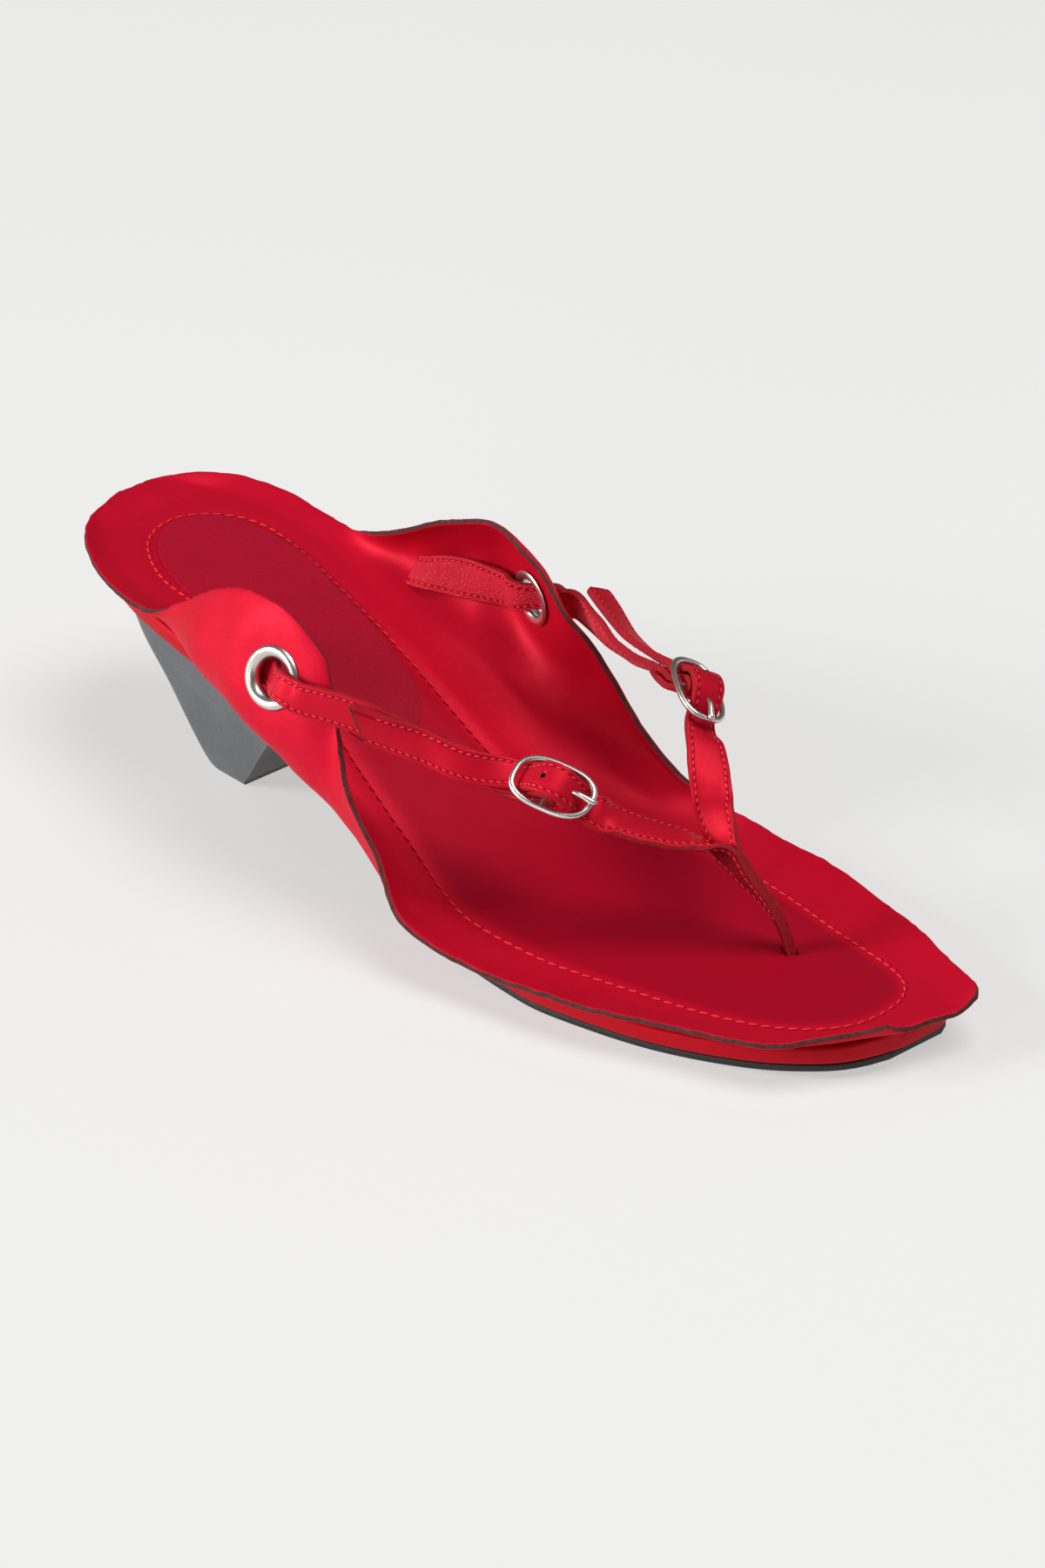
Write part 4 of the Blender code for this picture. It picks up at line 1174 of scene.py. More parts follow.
    def surface(self) -> list[Ring]:
        """The sheet's centre surface, row by row, with its creases and its uneven edge."""
        creases = [(*crease.ends(), crease) for crease in CREASES]
        rows = self.rows()
        columns = [self.columns(y) for y in rows]
        plain = [[place_on_sheet(y, across) for across in places]
                 for y, places in zip(rows, columns)]
        inside = self.seam.signed_distances([point.xy for row in plain for point in row])
        inside = inside.reshape(len(rows), -1)
        last = len(plain) - 1
        shaped = []
        for j, row in enumerate(plain):
            above, below = plain[min(j + 1, last)], plain[max(j - 1, 0)]
            made = []
            for i, point in enumerate(row):
                end = len(row) - 1
                right, left = row[min(i + 1, end)], row[max(i - 1, 0)]
                normal = (right - left).cross(above[i] - below[i]).normalized()
                relief = self.relief(point, columns[j][i], float(inside[j, i]), creases)
                rim = max(0.0, 1 - min(i, end - i, j, last - j) / self.edge_wander_lines)
                wander = noise.noise_vector(point / self.edge_wander_size) * self.edge_wander
                made.append(point + normal * relief + wander * rim)
            shaped.append(made)
        return shaped

    def make_sheet(self) -> None:
        """Build the sheet as one solid with its openings cut."""
        surface = self.surface()
        work = bmesh.new()
        width, length = len(surface[0]), len(surface)
        weights = work.verts.layers.deform.verify()
        spots = {}

        def place(i: int, j: int) -> Vector:
            """Point of the centre surface, noted with its share of the thickness."""
            spots[surface[j][i].copy().freeze()] = self.edge_weight(i, j, width, length)
            return surface[j][i]

        for vert in MeshTool.grid(work, width - 1, length - 1, place):
            vert[weights][0] = spots[vert.co.copy().freeze()]
        bmesh.ops.recalc_face_normals(work, faces=work.faces)
        if sum(face.normal.z for face in work.faces) < 0:
            bmesh.ops.reverse_faces(work, faces=work.faces)
        sheet = MeshTool.finish("upper", work, self.wardrobe.pick("satin", "raw_edge"))
        weight_group = sheet.vertex_groups.new(name="thickness").name
        MeshTool.modify(sheet, "SOLIDIFY", thickness=SHEET_THICKNESS * MM, offset=0.0,
                        material_offset_rim=1, vertex_group=weight_group)
        MeshTool.apply_modifiers(sheet)
        for centre, normal, _ in EYELET_FRAMES:
            MeshTool.cut(sheet, MeshTool.punch(centre, normal, EYELET_BARREL_RADIUS + 0.1, 8.0, 48,
                                               self.wardrobe.pick("raw_edge")))
        MeshTool.cut(sheet, self.post_cutter())
        self.mark_panel(sheet)
        register(sheet, Slot.SATIN.value, "upper_sheet")

    def post_cutter(self) -> Object:
        """Cutter for the slit that the toe post goes down into."""
        thickness = POST_SPACINGS[-1] + STRAP_THICKNESS + GAP
        samples = sampled_route(POST_RUN[-3:])
        work = bmesh.new()
        MeshTool.sweep(work, [ribbon_ring(sample, tangent, thickness, GAP)
                              for sample, tangent in with_tangents(samples)])
        return MeshTool.finish("slit_cutter", work, self.wardrobe.pick("post_leather"))

    def mark_panel(self, sheet: Object) -> None:
        """Write how far inside the sewn line each point of the footbed is."""
        points = [vert.co / MM for vert in sheet.data.vertices]
        inside = self.seam.signed_distances([point.xy for point in points])
        values = [smooth_step((float(distance) + self.panel_start) / self.panel_ramp)
                  if abs(point.z - footbed_height(point.y)) < 2 * SHEET_THICKNESS else 0.0
                  for point, distance in zip(points, inside)]
        layer = sheet.data.attributes.new("panel", "FLOAT", "POINT")
        layer.data.foreach_set("value", values)

    def make_seam(self) -> None:
        """Build the sewn line around the footbed, in raised stitches."""
        plan = closed_plan_curve(SEAM_LINE, 16)
        line = [Vector((p.x, p.y, footbed_height(p.y) - self.seam_depth)) for p in plan]
        places = evenly_spaced(line, self.seam_pitch, closed=True)
        work = bmesh.new()
        for i, place in enumerate(places):
            along = (places[(i + 1) % len(places)] - places[i - 1]).normalized()
            up = footbed_normal(place.y)
            lean = up.cross(along) * (self.seam_lean + self.seam_lean_spread * noise.noise(place))
            length = self.seam_stitch * (1 + STITCH_SPREAD * noise.noise(place / 3.0))
            stitch(work, place + up * self.seam_lift, (along + lean).normalized(), up, length,
                   self.seam_thread)
        seam = MeshTool.finish("footbed_stitching", work, self.wardrobe.pick("seam_thread"))
        register(seam, Slot.SATIN.value)

    def make_pad(self) -> None:
        """Build the thin leather pad under the heel, cut from a shell by its outline."""
        columns, rows = self.pad_grid
        work = bmesh.new()

        def place(i: int, j: int) -> Vector:
            """Point just above the footbed."""
            x = self.pad_x[0] + (self.pad_x[1] - self.pad_x[0]) * i / columns
            y = self.pad_y[0] + (self.pad_y[1] - self.pad_y[0]) * j / rows
            dimple = self.dimple * noise.noise(Vector((x, y, 0)) / self.wall_swell_size)
            return Vector((x, y, footbed_height(y) + self.pad_lift + dimple))

        MeshTool.grid(work, columns, rows, place)
        pad = MeshTool.finish("heel_pad", work, self.wardrobe.pick("pad"))
        MeshTool.modify(pad, "SOLIDIFY", thickness=self.pad_thickness * MM, offset=0.0)
        outline = closed_plan_curve(PAD_LINE, 8)
        block = bmesh.new()
        MeshTool.sweep(block, [[Vector((p.x, p.y, level)) for p in outline]
                               for level in self.pad_prism])
        prism = MeshTool.finish("pad_outline", block, self.wardrobe.pick("pad"))
        MeshTool.modify(pad, "BOOLEAN", operation="INTERSECT", solver="EXACT", object=prism)
        MeshTool.soften(pad, 0.12, 2, 50)
        MeshTool.apply_modifiers(pad)
        bpy.data.objects.remove(prism, do_unlink=True)
        register(pad, Slot.SATIN.value)

    def make(self) -> None:
        """Build all the upper's pieces."""
        self.make_sheet()
        self.make_pad()
        self.make_seam()


# ---- straps and yoke

Triple = tuple[float, float, float]


def run(*rows: tuple[Triple, Triple, float]) -> tuple[RoutePoint, ...]:
    """Route points from rows of a centre, the direction of the width, and the width."""
    return tuple(RoutePoint(Vector(centre), Vector(across), width)
                 for centre, across, width in rows)


STRAP_RUNS = {
    "lateral": run(((37.1, 60.9, 52.8), (-0.1, -0.1, 1), 7.9),
                   ((31.2, 73.1, 51.4), (-0.05, -0.05, 1), 8.6),
                   ((25.4, 85.0, 47.5), (-0.15, -0.15, 1), 8.4),
                   ((19.4, 96.6, 44.0), (-0.4, -0.2, 0.9), STRAP_WIDTH)),
    "medial": run(((-37.4, 70.5, 53.2), (0.1, 0, 1), 7.4),
                  ((-35.6, 80.0, 51.8), (0.3, 0, 1), STRAP_WIDTH),
                  ((-33.9, 90.0, 50.4), (0.6, 0, 0.8), STRAP_WIDTH),
                  ((-34.3, 97.5, 49.9), (0.7, -0.1, 0.65), STRAP_WIDTH)),
}
TAIL_RUNS = {
    "lateral": run(((35.8, 78.5, 53.7), (0.1, 0.1, 1), 8.6),
                   ((32.8, 81.9, 52.0), (0.0, 0.1, 1), 8.6),
                   ((26.4, 90.0, 48.6), (-0.2, -0.2, 1), 8.0),
                   ((21.7, 98.2, 45.6), (-0.4, -0.2, 0.9), 7.4)),
    "medial": run(((-40.6, 73.6, 57.4), (0.88, 0, 0.42), 7.6),
                  ((-39.7, 77.5, 56.1), (0.86, 0, 0.45), 7.6),
                  ((-37.0, 88.0, 53.0), (0.78, 0, 0.6), 7.6),
                  ((-36.0, 97.5, 51.8), (0.7, -0.1, 0.65), 7.4)),
}
ARM_RUNS = {
    "lateral": run(((3.0, 127.6, 36.6), (-0.9, -0.4, 0.05), 9.0),
                   ((-0.6, 131.8, 34.7), (-0.83, -0.55, 0.05), 9.4),
                   ((-5.0, 137.0, 33.2), (-0.67, -0.74, 0.05), 9.2),
                   ((-9.4, 142.0, 31.6), (-0.35, -0.93, -0.15), 8.8)),
    "medial": run(((-24.8, 127.2, 44.3), (0.76, -0.6, 0.25), 8.8),
                  ((-22.0, 131.2, 41.8), (0.7, -0.67, 0.2), 9.5),
                  ((-18.8, 135.8, 38.4), (0.62, -0.78, 0.0), 9.2),
                  ((-16.2, 140.2, 34.8), (0.4, -0.85, -0.3), 8.8)),
}
POST_RUN = run(((-13.4, 147.2, 29.5), (0.0, -0.79, -0.62), 7.8),
               ((-14.9, 151.0, 25.0), (-0.15, -0.81, -0.56), 6.4),
               ((-16.9, 154.8, 20.6), (-0.3, -0.85, -0.42), 5.5),
               ((-18.4, 158.0, 15.6), (-0.42, -0.85, -0.3), 4.9),
               ((-19.2, 160.5, 9.6), (-0.5, -0.82, -0.28), 4.5),
               ((-19.4, 161.6, 3.4), (-0.5, -0.84, -0.2), 4.5))
# A side strap through its eyelet: distance along the wing, out of it, and width.
STRAP_IN_EYELET = ((-9.5, -3.1, 9.3), (-5.0, -3.2, 8.2), (-2.3, -2.2, 6.9), (0.0, 0.0, 6.3),
                   (2.0, 2.3, 6.4), (5.0, 3.7, 6.9), (8.6, 3.5, 7.3))
# Strap layers through a buckle: distance along the frame, height over its plane, and width.
SIDE_STRAP_IN_BUCKLE = ((-10.4, -5.0, 7.8), (-6.8, -3.7, 7.6), (-3.9, -0.8, 7.6))
LOOP_TURNS = (125, 90, 50, 10, -30, -70)
SIDE_STRAP_FOLD = ((-2.4, -2.4, 7.6), (-5.7, -5.5, 7.6), (-9.8, -7.0, 7.8), (-13.0, -7.4, 7.8))
ARM_IN_BUCKLE = ((-11.0, -3.0, 7.4), (-8.0, -2.3, 6.9), (-5.2, 0.6, 6.9), (-2.4, 3.2, 8.2),
                 (0.0, 3.9, 8.4), (2.8, 3.4, 8.2), (5.4, 1.1, 7.4), (7.4, -2.1, 7.0),
                 (10.6, -3.3, 8.0))
# A prong starts on an arc round the bar and goes on through these places over the frame.
PRONG_TURNS = (230, 200, 170, 140, 110)
PRONG_IN_BUCKLE = ((0.6, 1.9), (4.4, 1.8), (6.8, 2.4), (9.4, 1.8), (11.2, 1.2))


def sampled_route(points: Sequence[RoutePoint]) -> list[RoutePoint]:
    """Strap cross-sections at even steps on a smooth curve through the route's points."""
    padded = [points[0], *points, points[-1]]
    samples = []
    for knots in zip(padded, padded[1:], padded[2:], padded[3:]):
        start, end = knots[1], knots[2]
        count = max(1, round((end.centre - start.centre).length / STRAP_STEP))
        for i in range(count):
            t = i / count
            across = start.across.normalized().lerp(end.across.normalized(), smooth_step(t))
            samples.append(RoutePoint(catmull_rom([knot.centre for knot in knots], t), across,
                                      start.width + (end.width - start.width) * t))
    samples.append(points[-1])
    reach = round(WIDTH_REACH / STRAP_STEP)
    eased = []
    for i, sample in enumerate(samples):
        near = [other.width for other in samples[max(0, i - reach):i + reach + 1]]
        eased.append(sample._replace(width=sum(near) / len(near)))
    return eased


def with_tangents(samples: Sequence[RoutePoint]) -> list[tuple[RoutePoint, Vector]]:
    """Each sample with the route's direction there."""
    ahead = [*samples[1:], samples[-1]]
    behind = [samples[0], *samples[:-1]]
    return [(sample, (after.centre - before.centre).normalized())
            for sample, after, before in zip(samples, ahead, behind)]


def ribbon_axes(sample: RoutePoint, tangent: Vector) -> tuple[Vector, Vector]:
    """Direction of a strap's width and of its thickness at one sample."""
    across = (sample.across - tangent * sample.across.dot(tangent)).normalized()
    return across, tangent.cross(across)


def ribbon_ring(sample: RoutePoint, tangent: Vector, thickness: float, extra: float = 0.0) -> Ring:
    """Cross-section of a strap: rounded edges, a slight crown, and a dip along each sewn line."""
    across, normal = ribbon_axes(sample, tangent)
    half, thick = (sample.width + extra) / 2, thickness / 2
    row = min(STITCH_INSET, half * 0.6)
    profile = [(half, thick - 0.42), (half - 0.08, thick - 0.16), (half - 0.3, thick - 0.02),
               (half - row + 0.38, thick), (half - row, thick - 0.11), (half - row - 0.38, thick),
               (half * 0.42, thick + 0.05), (0.0, thick + 0.06)]
    upper = profile + [(-a, h) for a, h in reversed(profile[:-1])]
    outline = upper + [(-a, -h) for a, h in upper]
    return [sample.centre + across * a + normal * h for a, h in outline]


# Strips of a ribbon, counted round its cross-section.
TOP_FACES = range(1, 13)
BACK_FACES = range(16, 28)
GROOVE_FACES = (3, 4, 9, 10, 18, 19, 24, 25)


class StrapPaint(IntEnum):
    """Order of a strap's materials."""
    SATIN = 0
    BACK = 1
    EDGE = 2
    RAW = 3
    GROOVE_PAINTED_SHADE = 4
    TAIL = 5


class BuckleFrame:
    """Axes of one buckle: along the frame, outwards across it, and up from its plane."""

    def __init__(self, fastening: Fastening) -> None:
        """Square up the fastening's directions."""
        self.centre = fastening.buckle
        self.along = fastening.along.normalized()
        across = fastening.outward - self.along * fastening.outward.dot(self.along)
        self.outward = across.normalized()
        self.up = self.along.cross(self.outward) * -fastening.wing.sign
        self.skew = fastening.skew

    def at(self, along: float, height: float, outward: float = 0.0) -> Vector:
        """World point of a place in the buckle."""
        return self.centre + self.along * along + self.up * height + self.outward * outward

    def route(self, places: Sequence[tuple[float, float, float]]) -> list[RoutePoint]:
        """Route points whose width lies across the frame, slightly skewed behind it."""
        return [RoutePoint(self.at(along, height, self.skew * max(0.0, SKEW_START - along)),
                           -self.outward, width) for along, height, width in places]


def arc(degrees: Sequence[float], radius: float) -> list[tuple[float, float]]:
    """Places along and over a buckle's frame on an arc round its bar."""
    turns = [math.radians(angle) for angle in degrees]
    return [(radius * math.cos(turn), radius * math.sin(turn)) for turn in turns]


def on_wing(wing: Wing, y: float, t: float, offset: float, width: float) -> RoutePoint:
    """Route point beside the wing's wall, on its outer face for a positive offset."""
    _, normal, up = wing.frame(y, t)
    return RoutePoint(pressed_flat(wing.point(y, t)) + normal * offset, up, width)


def side_strap_route(fastening: Fastening) -> list[RoutePoint]:
    """A side strap from its end in the wing's slit, through the eyelet, to the buckle's bar."""
    wing = fastening.wing
    lying = SHEET_THICKNESS / 2 + GAP + STRAP_THICKNESS / 2
    (slit_y, slit_t), (eyelet_y, eyelet_t) = fastening.slit, fastening.eyelet
    middle = (slit_y + (eyelet_y - slit_y) * INNER_RUN_MIDDLE[0],
              slit_t + (eyelet_t - slit_t) * INNER_RUN_MIDDLE[1])
    centre, normal, _ = wing.frame(eyelet_y, eyelet_t)
    ahead = STRAP_RUNS[fastening.name][0].centre - centre
    ahead = (ahead - normal * ahead.dot(normal)).normalized()
    across = normal.cross(ahead) * wing.sign
    places = ((slit_y, slit_t), (slit_y + SLIT_EXIT[0], slit_t + SLIT_EXIT[1]), middle)
    depths = (SLIT_END_DEPTH, *(lying + gap for gap in INNER_RUN_GAPS))
    route = [on_wing(wing, *place, -depth, width)
             for place, depth, width in zip(places, depths, INNER_RUN_WIDTHS)]
    route += [RoutePoint(centre + ahead * forward + normal * out, across, width)
              for forward, out, width in STRAP_IN_EYELET]
    route += STRAP_RUNS[fastening.name]
    turn = WIRE_RADIUS + GAP + STRAP_THICKNESS / 2
    loop = [(*place, LOOP_WIDTH) for place in arc(LOOP_TURNS, turn)]
    route += BuckleFrame(fastening).route([*SIDE_STRAP_IN_BUCKLE, *loop, *SIDE_STRAP_FOLD])
    return route


def yoke_route(fastening: Fastening) -> list[RoutePoint]:
    """A yoke arm from its free end, through the buckle, to the foot of the post."""
    route = list(TAIL_RUNS[fastening.name])
    route += BuckleFrame(fastening).route(ARM_IN_BUCKLE)
    route += ARM_RUNS[fastening.name]
    for point, spacing in zip(POST_RUN, POST_SPACINGS):
        shift = Vector((fastening.wing.sign * spacing / 2, 0, 0))
        route.append(point._replace(centre=point.centre + shift))
    return route


def rounded_tip(samples: list[RoutePoint], length: float, blunt: float) -> list[RoutePoint]:
    """Narrow the first stretch of a strap to an end with a blunt share of the width."""
    walked, made = TIP_START, []
    for before, sample in zip([samples[0], *samples], samples):
        walked += (sample.centre - before.centre).length
        share = min(1.0, walked / length)
        closing = (1 - (1 - share) ** TIP_SQUARENESS) ** (1 / TIP_SQUARENESS)
        made.append(sample._replace(width=sample.width * (blunt + (1 - blunt) * closing)))
    return made


@dataclass
class Strap:
    """One strap: a ribbon of satin-faced leather with a sewn line near each edge.

    The first rows of the ribbon are those at its start. Its raw rows show the cut edge, and
    the hidden side of its tail rows shows a backing of their own.
    """
    name: str
    samples: list[RoutePoint]
    sign: int
    wardrobe: Wardrobe
    pitch: float = 1.8
    stitch_length: float = 1.3
    thread: float = 0.42
    thread_sinking: float = 0.10
    lean: float = 0.14              # how far its stitches are turned from the sewn line
    lean_spread: float = 0.08
    narrowest_sewn: float = 5.0
    first_stitch: float = 0.0       # share of the strap before it
    raw_rows: int = 0
    tail_share: float = 0.0
    slant: float = 0.0              # the start is cut at this slope
    slant_reach: float = 7.0
    rumple: float = 0.07
    rumple_size: float = 4.5

    def ribbon(self, work: BMesh) -> None:
        """Add the ribbon to a bmesh: satin, backing, cut edge, and painted shade in its sewn dips.
        """
        shown, hidden = (TOP_FACES, BACK_FACES) if self.sign > 0 else (BACK_FACES, TOP_FACES)
        tail_rows = int(len(self.samples) * self.tail_share)

        def paint(i: int, row: int) -> StrapPaint:
            """Material of the strip after a ring point."""
            if row < self.raw_rows and i in TOP_FACES:
                return StrapPaint.RAW
            if row < tail_rows and i in hidden:
                return StrapPaint.TAIL
            # The dips along the sewn lines get the darker satin, which is painted shade.
            if i in GROOVE_FACES:
                return StrapPaint.GROOVE_PAINTED_SHADE
            if i in shown:
                return StrapPaint.SATIN
            return StrapPaint.BACK if i in hidden else StrapPaint.EDGE

        rings = [self.slanted(ribbon_ring(sample, tangent, STRAP_THICKNESS), sample, tangent)
                 for sample, tangent in with_tangents(self.samples)]
        rumpled = [[point + noise.noise_vector(point / self.rumple_size) * self.rumple
                    for point in ring] for ring in rings]
        MeshTool.sweep(work, rumpled, paint, cap_paint=StrapPaint.RAW)

    def slanted(self, ring: Ring, sample: RoutePoint, tangent: Vector) -> Ring:
        """A cross-section leaned over where it is near the free end, which is cut at a slant."""
        walked = (sample.centre - self.samples[0].centre).length
        lean = self.slant * max(0.0, 1 - walked / self.slant_reach)
        across, _ = ribbon_axes(sample, tangent)
        return [point + tangent * lean * (point - sample.centre).dot(across) for point in ring]

    def stitches(self, work: BMesh) -> None:
        """Add both sewn lines on both faces to a bmesh."""
        pairs = with_tangents(self.samples)
        kept = pairs[int(len(pairs) * self.first_stitch):]
        lift = STRAP_THICKNESS / 2 - self.thread_sinking
        for edge in (1, -1):
            line, data = [], []
            for sample, tangent in kept:
                across, normal = ribbon_axes(sample, tangent)
                inset = min(STITCH_INSET, sample.width * 0.3)
                line.append(sample.centre + across * edge * (sample.width / 2 - inset))
                data.append((normal, tangent, sample.width))
            for place in evenly_spaced(line, self.pitch, closed=False)[1:-1]:
                near = min(range(len(line)), key=lambda k: (line[k] - place).length_squared)
                normal, tangent, width = data[near]
                if width < self.narrowest_sewn:
                    continue
                wander = self.lean * edge + self.lean_spread * noise.noise(place * 1.7)
                lean = (tangent + normal.cross(tangent) * wander).normalized()
                length = self.stitch_length * (1 + STITCH_SPREAD * noise.noise(place))
                for face in (normal, -normal):
                    stitch(work, place + face * lift, lean, face, length, self.thread)

    def make(self, *nodes: str) -> None:
        """Build the strap's ribbon and its stitches as two pieces."""
        work = bmesh.new()
        self.ribbon(work)
        materials = self.wardrobe.pick("strap_satin", "backing", "strap_edge", "raw_edge", "groove")
        register(MeshTool.finish(self.name, work, materials, 50), Slot.SATIN.value, *nodes)
        self.make_stitches()

    def make_stitches(self) -> None:
        """Build the stitches as their own piece."""
        work = bmesh.new()
        self.stitches(work)
        made = MeshTool.finish(self.name + "_stitching", work, self.wardrobe.pick("thread"))
        register(made, Slot.SATIN.value)


class ArmEnd(NamedTuple):
    """Free end of a yoke arm."""
    length: float
    blunt: float
    first_stitch: float
    raw_rows: int
    slant: float


@dataclass
class Yoke:
    """The two arms whose inner ends are bonded back to back into the toe post."""
    wardrobe: Wardrobe
    ends: dict[str, ArmEnd] = field(default_factory=lambda: {
        "lateral": ArmEnd(1.6, 0.72, 0.03, 1, -0.8), "medial": ArmEnd(2.4, 0.55, 0.0, 0, 0.0)})
    tail_share: float = 0.3
    spare_hole_radius: float = 0.62
    spare_hole_place: tuple[float, float] = (-1.9, 4.2)

    def make(self) -> None:
        """Build both arms as one piece, and the stitches of each."""
        work = bmesh.new()
        arms = []
        for fastening in FASTENINGS:
            end = self.ends[fastening.name]
            samples = rounded_tip(sampled_route(yoke_route(fastening)), end.length, end.blunt)
            arms.append(Strap("yoke_" + fastening.name, samples, fastening.wing.sign,
                              self.wardrobe, first_stitch=end.first_stitch,
                              raw_rows=end.raw_rows, tail_share=self.tail_share,
                              slant=end.slant))
            arms[-1].ribbon(work)
        materials = self.wardrobe.pick("strap_satin", "post_leather", "strap_edge", "raw_edge",
                                       "groove", "backing")
        yoke = MeshTool.finish("toe_yoke", work, materials, 50)
        for fastening in FASTENINGS:
            buckle = BuckleFrame(fastening)
            MeshTool.cut(yoke, MeshTool.punch(buckle.at(*self.spare_hole_place), buckle.up,
                                              self.spare_hole_radius, 4.5, 24,
                                              self.wardrobe.pick("raw_edge")))
        register(yoke, Slot.SATIN.value, "thong_yoke")
        for arm in arms:
            arm.make_stitches()


# ---- metal

@dataclass
class Buckle:
    """A wire buckle: an oblong frame with a bar across it, and a prong."""
    fastening: Fastening
    wardrobe: Wardrobe
    outline_points: int = 96

    def outline(self, axes: BuckleFrame) -> Ring:
        """Centre line of the frame's wire."""
        power = 2 / BUCKLE_SQUARENESS
        points = []
        for i in range(self.outline_points * 4):
            angle = math.tau * i / (self.outline_points * 4)
            across, along = (math.copysign(abs(part) ** power, part)
                             for part in (math.cos(angle), math.sin(angle)))
            points.append(axes.at(along * BUCKLE_HALF_LENGTH, 0.0, across * BUCKLE_HALF_WIDTH))
        return evenly_spaced(points, 0.5, closed=True)

    def make(self) -> None:
        """Build the frame with its bar, then the prong."""
        axes = BuckleFrame(self.fastening)
        bar = [axes.at(0.0, 0.0, BUCKLE_HALF_WIDTH * share / 4) for share in range(-4, 5)]
        work = bmesh.new()
        MeshTool.sweep(work, MeshTool.wire(self.outline(axes), axes.up, WIRE_RADIUS, closed=True,
                                           segments=16), closed=True)
        MeshTool.sweep(work, MeshTool.wire(bar, axes.up, WIRE_RADIUS * 0.98, segments=16))
        self.hand_over(work, "buckle_frame_")
        work = bmesh.new()
        MeshTool.sweep(work, self.prong_rings(axes))
        self.hand_over(work, "buckle_prong_")

    def hand_over(self, work: BMesh, node: str) -> None:
        """Finish a metal piece in place of its CAD node."""
        name = node + self.fastening.name
        made = MeshTool.finish("wire_" + name, work, self.wardrobe.pick("nickel"))
        register(made, Slot.METAL.value, name)

    def prong_rings(self, axes: BuckleFrame) -> list[Ring]:
        """The prong's wire: round the bar, up through the strap, and onto the frame."""
        places = (*arc(PRONG_TURNS, WIRE_RADIUS + GAP + PRONG_RADIUS), *PRONG_IN_BUCKLE)
        knots = [axes.at(*place) for place in places]
        padded = [knots[0], *knots, knots[-1]]
        line = [catmull_rom(padded[i:i + 4], step / 6)
                for i in range(len(knots) - 1) for step in range(6)] + [knots[-1]]
        last = len(line) - 1

        def radius(i: int) -> float:
            """Rounded ends, and a tip that is slightly flared."""
            closing = math.sqrt(min(1.0, (min(i, last - i) + 0.4) / 3.0))
            return PRONG_RADIUS * closing * (1 + 0.25 * smooth_step((i - last + 12) / 8))

        return MeshTool.wire(line, axes.outward, radius)


@dataclass
class Eyelet:
    """A wide metal eyelet with a rounded rim and a funnel down to its hole."""
    name: str
    place: tuple[Vector, Vector, Vector]
    wardrobe: Wardrobe
    steps: int = 72
    # Radius and height over the wall's centre, from the back flange through the hole to the rim.
    profile: tuple[tuple[float, float], ...] = (
        (6.80, -1.05), (6.85, -1.25), (6.65, -1.48), (6.05, -1.60), (5.25, -1.50), (4.68, -1.15),
        (4.47, -0.60), (4.45, 0.10), (4.52, 0.62), (4.72, 1.05), (5.04, 1.42), (5.45, 1.72),
        (5.90, 1.92), (6.35, 1.97), (6.80, 1.86), (7.18, 1.60), (7.42, 1.30), (7.50, 1.02),
    )

    def make(self) -> None:
        """Spin the profile round the hole's axis and close it behind the rim."""
        centre, normal, up = self.place
        across = up.cross(normal)
        work = bmesh.new()
        inner = [(EYELET_BARREL_RADIUS, self.profile[end][1]) for end in (-1, 0)]
        verts = [work.verts.new((radius, 0.0, height))
                 for radius, height in (*self.profile, *inner)]
        edges = [work.edges.new((start, end)) for start, end in zip(verts, verts[1:] + verts[:1])]
        bmesh.ops.spin(work, geom=verts + edges, cent=(0, 0, 0), axis=(0, 0, 1), dvec=(0, 0, 0),
                       angle=math.tau, steps=self.steps, use_merge=True)
        bmesh.ops.remove_doubles(work, verts=work.verts, dist=1e-4)
        bmesh.ops.recalc_face_normals(work, faces=work.faces)
        basis = Matrix((across, up, normal)).transposed().to_4x4()
        bmesh.ops.transform(work, matrix=Matrix.Translation(centre) @ basis, verts=work.verts)
        bmesh.ops.recalc_face_normals(work, faces=work.faces)
        made = MeshTool.finish("rim_" + self.name, work, self.wardrobe.pick("nickel"), 50)
        register(made, Slot.METAL.value, self.name)


# ---- sole and heel

